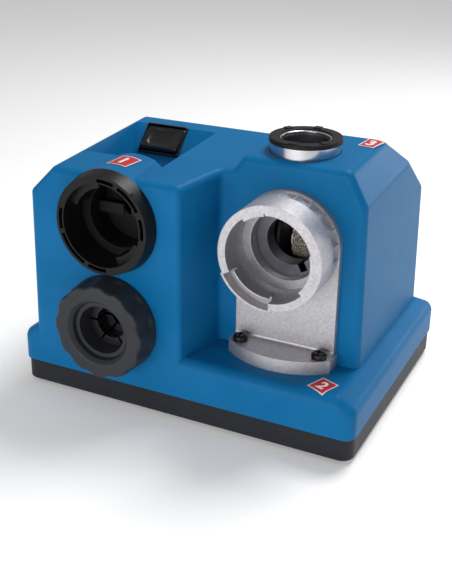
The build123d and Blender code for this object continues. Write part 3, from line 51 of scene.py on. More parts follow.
def srgb(red: int, green: int, blue: int) -> Rgb:
    """Linear colour from screen values of 0 to 255.

    Args:
        red: Red channel.
        green: Green channel.
        blue: Blue channel.

    Returns:
        The same colour in linear light.
    """
    channels = np.array([red, green, blue]) / 255.0
    linear = np.where(channels <= 0.04045, channels / 12.92, ((channels + 0.055) / 1.055) ** 2.4)
    return tuple(float(c) for c in linear)


def shade(colour: Rgb, by: float, lift: float = 0.0) -> Rgb:
    """A colour multiplied, raised by a little and kept at 1 or less."""
    return tuple(min(1.0, channel * by + lift) for channel in colour)


class Slot(Enum):
    """The record's material slot names; new pieces take their finishes from the Finish constants instead."""

    BLACK = "black_plastic"
    GREY = "grey_plastic"
    LABEL = "label_red"
    STEEL = "bright_steel"


# ---------------------------------------------------------------- shader graph
class Value:
    """One shader output. Arithmetic on it adds Math nodes to its graph."""

    def __init__(self, graph: "Graph", socket: bpy.types.NodeSocket) -> None:
        """Keeps the graph and the socket."""
        self.graph = graph
        self.socket = socket

    def _math(self, operation: str, first: Any, second: Any = 0.0) -> "Value":
        """One Math node on two values."""
        return self.graph.node("Math", {0: first, 1: second}, operation=operation)

    def __add__(self, other: Any) -> "Value":
        """Sum."""
        return self._math("ADD", self, other)

    def __sub__(self, other: Any) -> "Value":
        """Difference."""
        return self._math("SUBTRACT", self, other)

    def __mul__(self, other: Any) -> "Value":
        """Product."""
        return self._math("MULTIPLY", self, other)

    def __truediv__(self, other: Any) -> "Value":
        """Quotient."""
        return self._math("DIVIDE", self, other)

    def __pow__(self, other: Any) -> "Value":
        """Power."""
        return self._math("POWER", self, other)

    def __rsub__(self, other: Any) -> "Value":
        """Difference with a number on the left."""
        return self._math("SUBTRACT", other, self)

    __radd__ = __add__
    __rmul__ = __mul__

    def size(self) -> "Value":
        """Its distance from zero."""
        return self._math("ABSOLUTE", self)

    def sine(self) -> "Value":
        """Its sine, as an angle in radians."""
        return self._math("SINE", self)

    def least(self, other: Any) -> "Value":
        """The smaller of this and another."""
        return self._math("MINIMUM", self, other)

    def ramp(self, low: float, high: float) -> "Value":
        """0 at low and 1 at high, smooth between them.

        Args:
            low: Where the ramp starts.
            high: Where it ends.

        Returns:
            The ramped value.
        """
        inputs = {"Value": self, "From Min": low, "From Max": high}
        return self.graph.node("MapRange", inputs, interpolation_type="SMOOTHSTEP")


class Graph:
    """A material's node tree, and the one way that nodes are added to it."""

    def __init__(self, name: str) -> None:
        """Starts an empty material called name."""
        self.material = bpy.data.materials.new(name)
        self.material.use_nodes = True
        self.tree = self.material.node_tree
        self.tree.nodes.clear()

    def node(self, kind: str, inputs: Optional[dict] = None, out: Union[int, str] = 0, **settings: Any) -> Value:
        """Adds one node, with its settings first and its sockets after.

        Args:
            kind: Node type, without "ShaderNode".
            inputs: Socket name or index, to a value, a link or a colour.
            out: The output that is returned.
            **settings: The node's own properties.

        Returns:
            The chosen output.
        """
        made = self.tree.nodes.new(f"ShaderNode{kind}")
        for key, value in settings.items():
            setattr(made, key, value)
        for key, value in (inputs or {}).items():
            self.feed(made.inputs[key], value)
        return Value(self, made.outputs[out])

    def feed(self, socket: bpy.types.NodeSocket, value: Any) -> None:
        """Links a value to a socket, or writes a plain one on it.

        Args:
            socket: The socket that is fed.
            value: A Value, a number, a vector or a colour.
        """
        if isinstance(value, Value):
            self.tree.links.new(value.socket, socket)
        elif isinstance(value, (tuple, list)) and len(value) == 3 and socket.type == "RGBA":
            socket.default_value = (*value, 1.0)
        else:
            socket.default_value = value

    def place(self) -> Value:
        """The point being shaded, in the object's own metres."""
        return self.node("TexCoord", out="Object")

    def axes(self, point: Value) -> tuple[Value, Value, Value]:
        """The x, y and z of a point."""
        outputs = self.node("SeparateXYZ", {0: point}).socket.node.outputs
        return Value(self, outputs[0]), Value(self, outputs[1]), Value(self, outputs[2])

    def noise(self, size_mm: float, detail: float = 2.0, rough: float = 0.5) -> Value:
        """Smooth noise on the object's own metres.

        Args:
            size_mm: Size of its features.
            detail: How many finer layers are added.
            rough: How strong the finer layers are.

        Returns:
            A value from 0 to 1.
        """
        inputs = {"Vector": self.place(), "Scale": 1.0 / (size_mm * MM), "Detail": detail, "Roughness": rough}
        return self.node("TexNoise", inputs)

    def mix(self, factor: Any, first: Any, second: Any) -> Value:
        """A colour between first and second."""
        return self.node("Mix", {0: factor, 6: first, 7: second}, out=2, data_type="RGBA")

    def soft_edge(self, radius_mm: float) -> Optional[Value]:
        """A normal that rounds sharp edges to a radius, or None for a radius of 0."""
        return self.node("Bevel", {"Radius": radius_mm * MM}, samples=4) if radius_mm else None

    def bump(self, height: Value, depth_mm: float, strength: float, normal: Optional[Value] = None) -> Value:
        """A normal from a height of 0 to 1.

        Args:
            height: The height.
            depth_mm: How high 1 stands.
            strength: How much of it is used.
            normal: The normal that it is added to, if not the surface's own.

        Returns:
            The normal.
        """
        inputs = {"Height": height, "Distance": depth_mm * MM, "Strength": strength}
        if normal is not None:
            inputs["Normal"] = normal
        return self.node("Bump", inputs)

    def finish(self, **sockets: Any) -> bpy.types.Material:
        """Ends the graph in a Principled shader.

        Args:
            **sockets: Its sockets, with _ for a space.

        Returns:
            The material.
        """
        inputs = {key.replace("_", " "): value for key, value in sockets.items()}
        shader = self.node("BsdfPrincipled", inputs)
        output = self.tree.nodes.new("ShaderNodeOutputMaterial")
        self.tree.links.new(shader.socket, output.inputs["Surface"])
        return self.material


# ---------------------------------------------------------------- finishes
@dataclass(frozen=True)
class Finish:
    """What every finish has.

    Attributes:
        name: Material name.
    """

    name: str

    def make(self) -> bpy.types.Material:
        """Builds the material."""
        raise NotImplementedError


@dataclass(frozen=True)
class MouldedPlastic(Finish):
    """Injection-moulded plastic with a spark-eroded grain.

    Attributes:
        colour: Its colour.
        roughness: Mean roughness.
        grain_mm: Size of the grain.
        depth_mm: Depth of the grain.
        shift: How far patches stray from the colour.
        edge_mm: Radius that sharp edges are rounded to, or 0.
        specular: Strength of its reflections.
        patch_mm: Size of the patches.
        flow_mm: Size of the flow marks.
    """

    colour: Rgb
    roughness: float = 0.45
    grain_mm: float = 0.7
    depth_mm: float = 0.02
    shift: float = 0.08
    edge_mm: float = 0.0
    specular: float = 0.5
    patch_mm: float = 38.0
    flow_mm: float = 9.0

    def make(self) -> bpy.types.Material:
        """Builds the material: patches and grain tint it, flow marks and grain dull it.

        Returns:
            The material.
        """
        g = Graph(self.name)
        grain, flow = g.noise(self.grain_mm, 3.0), g.noise(self.flow_mm, 4.0)
        tint = g.noise(self.patch_mm, 3.0).ramp(0.3, 0.7) * 0.8 + grain.ramp(0.35, 0.65) * 0.2
        colour = g.mix(tint, shade(self.colour, 1 - self.shift), shade(self.colour, 1 + self.shift, 0.004))
        roughness = self.roughness - 0.05 + flow * 0.06 + grain * 0.05
        normal = g.bump(grain, self.depth_mm, 0.5, g.soft_edge(self.edge_mm))
        return g.finish(
            Base_Color=colour, Roughness=roughness, Normal=normal, Specular_IOR_Level=self.specular, IOR=1.5
        )


@dataclass(frozen=True)
class BlastedCasting(Finish):
    """Aluminium casting, blasted to a fine sparkle.

    Attributes:
        colour: Mean colour.
        roughness: Mean roughness.
        speck_mm: Size of the speckle.
        depth_mm: Depth of the blasting.
        metal: How metallic it is.
        edge_mm: Radius that sharp edges are rounded to.
        cloud_mm: Size of the faint clouds.
    """

    colour: Rgb
    roughness: float = 0.5
    speck_mm: float = 0.55
    depth_mm: float = 0.08
    metal: float = 0.85
    edge_mm: float = 0.7
    cloud_mm: float = 24.0

    def make(self) -> bpy.types.Material:
        """Builds the material: fine and coarse specks, with faint clouds.

        Returns:
            The material.
        """
        g = Graph(self.name)
        speck = g.noise(self.speck_mm, 3.0, rough=0.65)
        coarse = g.noise(self.speck_mm * 4.5, 2.0)
        cloud = g.noise(self.cloud_mm, 3.0)
        tone = speck.ramp(0.3, 0.7) * 0.55 + coarse.ramp(0.25, 0.75) * 0.25 + cloud * 0.2
        colour = g.mix(tone, shade(self.colour, 0.62), shade(self.colour, 1.28))
        roughness = self.roughness + 0.12 * (speck - 0.5)
        normal = g.bump(speck * 0.7 + coarse * 0.3, self.depth_mm, 0.6, g.soft_edge(self.edge_mm))
        return g.finish(Base_Color=colour, Metallic=self.metal, Roughness=roughness, Normal=normal)


@dataclass(frozen=True)
class TurnedMetal(Finish):
    """Metal with fine tool rings about one axis.

    Attributes:
        colour: Its colour.
        centre_mm: A point on the axis; the axis is the one with None.
        roughness: Mean roughness.
        ring_mm: Pitch of the rings.
        depth_mm: Depth of the rings.
        oxide: How much dark film dulls it.
        edge_mm: Radius that sharp edges are rounded to.
        film_mm: Size of the film's patches.
    """

    colour: Rgb
    centre_mm: tuple[Optional[float], Optional[float], Optional[float]]
    roughness: float = 0.25
    ring_mm: float = 0.35
    depth_mm: float = 0.01
    oxide: float = 0.15
    edge_mm: float = 0.3
    film_mm: float = 7.0

    def make(self) -> bpy.types.Material:
        """Builds the material: rings come from the radius and the height along the axis.

        Returns:
            The material.
        """
        g = Graph(self.name)
        axes = g.axes(g.place())
        along = next(a for a, c in zip(axes, self.centre_mm) if c is None)
        across = [a - c * MM for a, c in zip(axes, self.centre_mm) if c is not None]
        radius = (across[0] * across[0] + across[1] * across[1]) ** 0.5
        line = (radius + along * 0.93) / (self.ring_mm * MM)
        rings = g.node("TexNoise", {"W": line, "Scale": 1.0, "Detail": 2.0}, noise_dimensions="1D")
        film = g.noise(self.film_mm, 4.0)
        colour = g.mix(film.ramp(0.4, 0.75), self.colour, shade(self.colour, 1 - self.oxide))
        colour = g.mix(rings.ramp(0.62, 0.8) * 0.5, colour, shade(self.colour, max(1 - 3 * self.oxide, 0.2)))
        roughness = self.roughness + 0.12 * rings + 0.08 * film
        normal = g.bump(rings, self.depth_mm, 0.5, g.soft_edge(self.edge_mm))
        return g.finish(Base_Color=colour, Metallic=1.0, Roughness=roughness, Normal=normal)


@dataclass(frozen=True)
class PlatedSteel(Finish):
    """Zinc plate or black oxide on steel, with a faint cloudy film.

    Attributes:
        colour: Its colour.
        roughness: Mean roughness.
        metal: How metallic it is.
        wear: How much brighter the film is where it has rubbed.
        edge_mm: Radius that sharp edges are rounded to.
        cloud_mm: Size of the film's clouds.
        grain_mm: Size of the plate's grain.
    """

    colour: Rgb
    roughness: float = 0.38
    metal: float = 1.0
    wear: float = 0.25
    edge_mm: float = 0.3
    cloud_mm: float = 3.5
    grain_mm: float = 0.25

    def make(self) -> bpy.types.Material:
        """Builds the material: clouds rub it bright and change its gloss.

        Returns:
            The material.
        """
        g = Graph(self.name)
        cloud = g.noise(self.cloud_mm, 4.0)
        bright = shade(self.colour, 1 - 0.4 * self.wear, 0.5 * self.wear)
        colour = g.mix(cloud.ramp(0.45, 0.8), self.colour, bright)
        roughness = self.roughness + 0.15 * (cloud - 0.5)
        normal = g.bump(g.noise(self.grain_mm), 0.008, 0.5, g.soft_edge(self.edge_mm))
        return g.finish(Base_Color=colour, Metallic=self.metal, Roughness=roughness, Normal=normal)


@dataclass(frozen=True)
class DiamondGrit(Finish):
    """Plated grit: pale grains in a darker bond.

    Attributes:
        grain: Colour of the grains.
        bond: Colour between them.
        grain_mm: Size of one grain.
        stain_mm: Size of the stains.
    """

    grain: Rgb
    bond: Rgb
    grain_mm: float = 0.9
    stain_mm: float = 5.0

    def make(self) -> bpy.types.Material:
        """Builds the material: each cell is a grain, with bond at its border.

        Returns:
            The material.
        """
        g = Graph(self.name)
        inputs = {"Vector": g.place(), "Scale": 1.0 / (self.grain_mm * MM)}
        cells = g.node("TexVoronoi", inputs, out="Distance")
        tint_x, tint_y, _ = g.axes(g.node("TexVoronoi", inputs, out="Color"))
        lit = g.mix(tint_x, self.grain, shade(self.grain, 0.62))
        colour = g.mix(cells.ramp(0.25, 0.62), lit, self.bond)
        colour = g.mix(g.noise(self.stain_mm, 3.0).ramp(0.55, 0.8) * 0.4, colour, self.bond)
        normal = g.bump(1 - cells, 0.2, 0.8)
        return g.finish(Base_Color=colour, Metallic=0.3, Roughness=0.55 + 0.25 * tint_y, Normal=normal)


@dataclass(frozen=True)
class PrintedFilm(Finish):
    """Red film label with a pale border, laid out on its own UV map.

    Attributes:
        inner: Colour inside the border.
        border: Colour of the border.
        width_mm: Label's width.
        length_mm: Label's length.
        border_mm: Width of the border.
        blur_mm: Softness of the border's printed line, each way.
    """

    inner: Rgb
    border: Rgb
    width_mm: float
    length_mm: float
    border_mm: float = 0.9
    blur_mm: float = 0.12

    def make(self) -> bpy.types.Material:
        """Builds the material: the border is where the nearest edge is close.

        Returns:
            The material.
        """
        g = Graph(self.name)
        u, v, _ = g.axes(g.node("UVMap", uv_map="UVMap"))
        from_side = (0.5 - (u - 0.5).size()) * self.width_mm
        from_end = (0.5 - (v - 0.5).size()) * self.length_mm
        inside = from_side.least(from_end).ramp(self.border_mm - self.blur_mm, self.border_mm + self.blur_mm)
        ink = g.noise(0.5)
        colour = g.mix(inside, self.border, g.mix(ink, shade(self.inner, 0.9), self.inner))
        return g.finish(Base_Color=colour, Roughness=0.32 + 0.08 * ink, Normal=g.bump(g.noise(1.4), 0.01, 0.3))


@dataclass(frozen=True)
class WoundCopper(Finish):
    """Lacquered copper wire, laid side by side round the spindle.

    Attributes:
        colour: Its colour.
        wire_mm: Wire diameter.
    """

    colour: Rgb
    wire_mm: float = 0.6

    def make(self) -> bpy.types.Material:
        """Builds the material: each turn is one period of a sine along X; the colour is painted darker in the grooves
        between turns as shade, and its tone varies at random.

        Returns:
            The material.
        """
        g = Graph(self.name)
        x, _, _ = g.axes(g.place())
        turns = (x * (2 * math.pi / (self.wire_mm * MM))).sine() * 0.5 + 0.5
        tone = g.noise(2.0, 3.0)
        # painted shade: the colour drops to 0.4 of itself in the grooves between turns; the noise adds a random tone
        colour = g.mix(turns * 0.6 + tone * 0.4, shade(self.colour, 0.4), self.colour)
        return g.finish(Base_Color=colour, Metallic=0.9, Roughness=0.3 + 0.15 * tone, Normal=g.bump(turns, 0.15, 0.6))


BLUE = MouldedPlastic("blue_housing", srgb(6, 104, 158), 0.42, grain_mm=0.8, shift=0.05, specular=0.09)
TRAY = MouldedPlastic("charcoal_tray", srgb(28, 30, 37), 0.5, grain_mm=0.8, depth_mm=0.03, edge_mm=0.5, specular=0.25)
RING = MouldedPlastic("black_ring", srgb(12, 12, 14), 0.4, grain_mm=0.6, edge_mm=0.4, specular=0.22)
CUP = MouldedPlastic("black_cup", srgb(12, 12, 14), 0.4, grain_mm=0.6, edge_mm=0.4, specular=0.25)
KNOB = MouldedPlastic("grey_chuck", srgb(42, 44, 49), 0.5, grain_mm=0.5, depth_mm=0.03, edge_mm=0.5, specular=0.3)
SWITCH = MouldedPlastic("switch_black", srgb(14, 14, 16), 0.3, grain_mm=0.5, depth_mm=0.01, edge_mm=0.4)
RUBBER = MouldedPlastic(
    "foot_rubber", srgb(30, 30, 32), 0.75, grain_mm=0.5, depth_mm=0.03, shift=0.12, edge_mm=0.4, specular=0.3)
PALE = MouldedPlastic("pale_terminal", srgb(222, 218, 205), grain_mm=0.6, shift=0.04, edge_mm=0.3)
BOARD = MouldedPlastic("board_green", srgb(38, 92, 58), 0.35, grain_mm=1.2, shift=0.15, edge_mm=0.2)
FERRITE = MouldedPlastic("dark_ferrite", srgb(52, 50, 50), 0.6, grain_mm=0.4, depth_mm=0.04, shift=0.15, edge_mm=0.3)
LEADS = MouldedPlastic("lead_insulation", srgb(122, 72, 42), 0.35, grain_mm=0.8, depth_mm=0.01, shift=0.06)
INK = MouldedPlastic("white_ink", srgb(238, 236, 236), 0.4, grain_mm=0.5, depth_mm=0.005, shift=0.02)
CASTING = BlastedCasting("blasted_casting", srgb(192, 190, 194))
BELLS = BlastedCasting("bell_casting", srgb(168, 168, 170), 0.55, speck_mm=0.7, depth_mm=0.1)
STEEL_SPINDLE = TurnedMetal("turned_spindle", srgb(186, 186, 190), (None, 10.4, 125.5))
STEEL_SLEEVE = TurnedMetal(
    "dark_guide", srgb(112, 112, 120), (63.8, None, 133.8), 0.35, ring_mm=0.4, depth_mm=0.012)
STEEL_COLLET = TurnedMetal("collet_steel", srgb(74, 74, 78), (-50.2, None, 67.2), 0.3)
STEEL_TUBE = TurnedMetal(
    "polished_tube", srgb(205, 205, 210), (59.9, -11.6, None), 0.12, ring_mm=0.5, depth_mm=0.006, oxide=0.1)
ZINC = PlatedSteel("zinc_plate", srgb(172, 172, 168))
OXIDE = PlatedSteel("black_oxide", srgb(30, 29, 30), 0.32, metal=0.7, wear=0.12)
BRASS = PlatedSteel("brass_parts", srgb(204, 168, 92), 0.3)
GRIT = DiamondGrit("diamond_grit", srgb(196, 186, 170), srgb(92, 88, 84))
COPPER = WoundCopper("wound_copper", srgb(190, 104, 62))

CAD_FINISHES: dict[Finish, tuple[str, ...]] = {
    BLUE: tuple(f"housing_{part}" for part in
                ("front", "ledge", "tower_front", "pocket", "top", "rear", "right", "left", "middle")),
    TRAY: ("base_tray", "motor_cradle", "wheel_guard", "cooling_fan", "chuck_socket"),
    RING: ("setting_ring", "split_ring"),
    CUP: ("setting_cup", "setting_pawls"),
    KNOB: ("chuck_body",),
    SWITCH: ("switch_body",),
    RUBBER: ("rubber_feet", "cable_gland"),
    PALE: ("terminal_block",),
    BOARD: ("circuit_board",),
    FERRITE: ("motor_magnets", "carbon_brushes", "board_parts"),
    LEADS: ("mains_leads",),
    CASTING: ("port_bracket",),
    BELLS: ("motor_rear_bell", "motor_front_bell"),
    STEEL_SPINDLE: ("spindle_shaft", "wheel_hub", "wheel_washer", "motor_bearings"),
    STEEL_SLEEVE: ("port_sleeve",),
    STEEL_COLLET: ("chuck_collet",),
    STEEL_TUBE: ("split_tube",),
    ZINC: ("motor_can", "motor_strap", "strap_screws", "tray_screws", "armature_core", "bracket_nuts",
           "setting_screws", "socket_screws", "split_clamp", "split_screws"),
    OXIDE: ("base_screws", "bracket_screws", "wheel_screw"),
    BRASS: ("brush_holders", "switch_tabs"),
    GRIT: ("diamond_wheel",),
    COPPER: ("armature_windings", "commutator"),
}


class FinishShelf:
    """Makes each finish once and hands it out."""

    def __init__(self) -> None:
        """Starts with nothing made."""
        self.made: dict[str, bpy.types.Material] = {}

    def get(self, finish: Finish) -> bpy.types.Material:
        """The material of a finish, made the first time.

        Args:
            finish: The finish.

        Returns:
            Its material.
        """
        if finish.name not in self.made:
            self.made[finish.name] = finish.make()
        return self.made[finish.name]

    def dress(self, thing: bpy.types.Object, finish: Finish) -> None:
        """Puts one finish on all of an object's slots."""
        thing.data.materials.clear()
        thing.data.materials.append(self.get(finish))


SHELF = FinishShelf()


# ---------------------------------------------------------------- surfaces
def show(thing_name: str, data: bpy.types.ID) -> bpy.types.Object:
    """Puts a mesh, curve, lamp or camera in the scene.

    Args:
        thing_name: Object name.
        data: What it shows.

    Returns:
        The object, at the origin.
    """
    thing = bpy.data.objects.new(thing_name, data)
    bpy.context.scene.collection.objects.link(thing)
    return thing


def surface(name: str, grid: np.ndarray, closed: bool = False, uv: bool = False) -> bpy.types.Object:
    """A smooth-shaded mesh from a grid of points.

    Args:
        name: Object name.
        grid: Points in metres, shaped (rows, columns, 3); faces point to row cross column.
        closed: Join the last column to the first.
        uv: Write a UV map that runs 0 to 1 along rows and columns.

    Returns:
        The object, at the origin.
    """
    rows, cols = grid.shape[:2]
    index = np.arange(rows * cols).reshape(rows, cols)
    row, col = np.meshgrid(np.arange(rows - 1), np.arange(cols if closed else cols - 1), indexing="ij")
    after = (col + 1) % cols
    corners = [index[row, col], index[row + 1, col], index[row + 1, after], index[row, after]]
    mesh = bpy.data.meshes.new(name)
    mesh.from_pydata(grid.reshape(-1, 3).tolist(), [], np.stack(corners, -1).reshape(-1, 4).tolist())
    mesh.polygons.foreach_set("use_smooth", np.ones(len(mesh.polygons), dtype=bool))
    if uv:
        layer = mesh.uv_layers.new(name="UVMap")
        loops = np.empty(len(mesh.loops), dtype=np.int32)
        mesh.loops.foreach_get("vertex_index", loops)
        where = np.stack([(loops // cols) / (rows - 1), (loops % cols) / (cols - 1)], -1)
        layer.data.foreach_set("uv", where.astype(np.float32).ravel())
    mesh.update()
    return show(name, mesh)


def rounded(corners: Sequence[Point], steps: int) -> np.ndarray:
    """A polyline with its corners rounded off.

    Each corner becomes a quadratic curve between the two points that lie its
    reach away from it along its sides. A reach of 0 keeps it sharp.

    Args:
        corners: Each corner's two coordinates and its reach, ends included.
        steps: Points per rounded corner.

    Returns:
        The points, shaped (n, 2).
    """
    p = np.asarray(corners, float)[:, :2]
    out = [p[0:1]]
    t = np.linspace(0, 1, steps)[:, None]
    for before, here, after, (_, _, wanted) in zip(p[:-2], p[1:-1], p[2:], corners[1:-1]):
        a, b = before - here, after - here
        la, lb = np.linalg.norm(a), np.linalg.norm(b)
        reach = min(wanted, la * 0.49, lb * 0.49)
        start, end = here + a / la * reach, here + b / lb * reach
        out.append((1 - t) ** 2 * start + 2 * t * (1 - t) * here + t ** 2 * end if reach > 0 else here[None])
    out.append(p[-1:])
    return np.concatenate(out)


def divided(line: np.ndarray, step: float) -> np.ndarray:
    """A polyline with points added, so that none is much over a step from the next.

    Args:
        line: Its points, shaped (n, 2).
        step: The step.

    Returns:
        The points, shaped (m, 2).
    """
    out = [line[:1]]
    for a, b in zip(line[:-1], line[1:]):
        count = max(1, int(np.linalg.norm(b - a) / step))
        out.append(a + (b - a) * (np.arange(1, count + 1) / count)[:, None])
    return np.concatenate(out)


def ride(thing: bpy.types.Object, body: str, finish: Finish) -> None:
    """Dresses a new piece, and lets it move with a body.

    Args:
        thing: The piece.
        body: The CAD body's name.
        finish: Its finish.
    """
    SHELF.dress(thing, finish)
    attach(thing, body)


# ---------------------------------------------------------------- sub-assemblies
@dataclass(frozen=True)
class HousingTops:
    """The moulding's upper surfaces as heights over the plan, for labels to lie on.

    Attributes:
        barrel_axis: Axis of the barrel behind the setting port, in x and z.
        barrel_r: The barrel's radius.
        plinth_z: Height of the plinth's flat top.
        plinth_r: Radius of its front edge.
        tower_z: Height of the tower's top over the middle of the base.
        middle_y: The middle of the base, in y.
        climb: Slope of the tower's top towards the back, in degrees.
        chamfer_x: Where that top bends into the right chamfer.
        chamfer_r: Radius of the bend.
    """

    barrel_axis: tuple[float, float] = (-50.2 * MM, 142.5 * MM)
    barrel_r: float = 36.9 * MM
    plinth_z: float = 49.3 * MM
    plinth_r: float = 8.0 * MM
    tower_z: float = 189.2 * MM
    middle_y: float = 10.4 * MM
    climb: float = 2.5
    chamfer_x: float = 98.7 * MM
    chamfer_r: float = 7.0 * MM

    def drop(self, over: np.ndarray, radius: float) -> np.ndarray:
        """How far a rounded edge has fallen, some way past its start: a circle's sagitta."""
        return radius - np.sqrt(radius ** 2 - np.clip(over, 0, 0.8 * radius) ** 2)

    def barrel(self, x: np.ndarray, y: np.ndarray) -> np.ndarray:
        """A cylinder about Y."""
        return self.barrel_axis[1] + np.sqrt(np.maximum(self.barrel_r ** 2 - (x - self.barrel_axis[0]) ** 2, 0))

    def plinth(self, x: np.ndarray, y: np.ndarray) -> np.ndarray:
        """Flat, then down an arc at the front edge."""
        return self.plinth_z - self.drop(BASE_FRONT_Y + self.plinth_r - y, self.plinth_r)

    def tower(self, x: np.ndarray, y: np.ndarray) -> np.ndarray:
        """The climbing top, then down an arc into the chamfer."""
        climbed = (y - self.middle_y) * math.tan(math.radians(self.climb))
        return self.tower_z + climbed - self.drop(x - self.chamfer_x, self.chamfer_r)


@dataclass
class PortLabel:
    """One red number plate, conformed to what it is stuck on.

    Attributes:
        figure: The port's number.
        centre: Its middle in plan, in metres.
        size: Width and length in metres.
        turn: Degrees clockwise, seen from above.
        height: Takes plan x and y to the surface's height under the label.
        lift: How far the film stands over that surface.
        relief: How far the figure stands over the film, and half its own thickness.
        cells: Points along each side of the film.
        figure_share: The figure's height, as a share of the label's length.
        em: Type size that gives a figure of height 1.
        weight: How much its strokes are thickened, as a share of its height.
    """

    figure: str
    centre: tuple[float, float]
    size: tuple[float, float]
    turn: float
    height: Heights
    lift: float = 0.32 * MM
    relief: tuple[float, float] = (0.06 * MM, 0.05 * MM)
    cells: int = 24
    figure_share: float = 0.56
    em: float = 1.38
    weight: float = 0.036

    def lay(self, flat: np.ndarray, lift: float) -> np.ndarray:
        """Turns flat points by the label's turn, moves them to its middle and drops them on the surface.

        Args:
            flat: Points about the label's middle, z up, in metres.
            lift: How far z = 0 stands over the surface.

        Returns:
            The points in place.
        """
        c, s = math.cos(math.radians(-self.turn)), math.sin(math.radians(-self.turn))
        x = self.centre[0] + flat[..., 0] * c - flat[..., 1] * s
        y = self.centre[1] + flat[..., 0] * s + flat[..., 1] * c
        return np.stack([x, y, self.height(x, y) + lift + flat[..., 2]], -1)

    def build_film(self) -> bpy.types.Object:
        """The film: a flat grid, laid on the surface.

        Returns:
            The piece.
        """
        side = np.linspace(-0.5, 0.5, self.cells)
        u, v = np.meshgrid(side, side, indexing="ij")
        flat = np.stack([u * self.size[0], v * self.size[1], np.zeros_like(u)], -1)
        film = surface(f"label_film_{self.figure}", self.lay(flat, self.lift), uv=True)
        look = PrintedFilm(f"red_film_{self.figure}", srgb(200, 22, 30), srgb(226, 214, 220),
                           self.size[0] / MM, self.size[1] / MM)
        ride(film, "machine", look)
        return film

    def build_figure(self) -> bpy.types.Object:
        """The raised figure: type made a mesh, centred, and laid over the film.

        Returns:
            The piece.
        """
        name, tall = f"label_figure_{self.figure}", self.size[1] * self.figure_share
        curve = bpy.data.curves.new(name, "FONT")
        curve.body = self.figure
        curve.size, curve.offset, curve.extrude = tall * self.em, tall * self.weight, self.relief[1]
        curve.align_x = "CENTER"
        curve.resolution_u = 4
        holder = show(name, curve)
        bpy.context.view_layer.update()
        mesh = bpy.data.meshes.new_from_object(holder.evaluated_get(bpy.context.evaluated_depsgraph_get()))
        bpy.data.objects.remove(holder)
        flat = np.empty(len(mesh.vertices) * 3, dtype=np.float32)
        mesh.vertices.foreach_get("co", flat)
        flat = flat.reshape(-1, 3)
        flat[:, :2] -= (flat[:, :2].min(0) + flat[:, :2].max(0)) / 2
        laid = self.lay(flat, self.lift + self.relief[0])
        mesh.vertices.foreach_set("co", laid.astype(np.float32).ravel())
        mesh.update()
        mesh.name = name
        mark = show(name, mesh)
        ride(mark, "machine", INK)
        return mark

    def build(self) -> list[bpy.types.Object]:
        """The film and its figure."""
        return [self.build_film(), self.build_figure()]


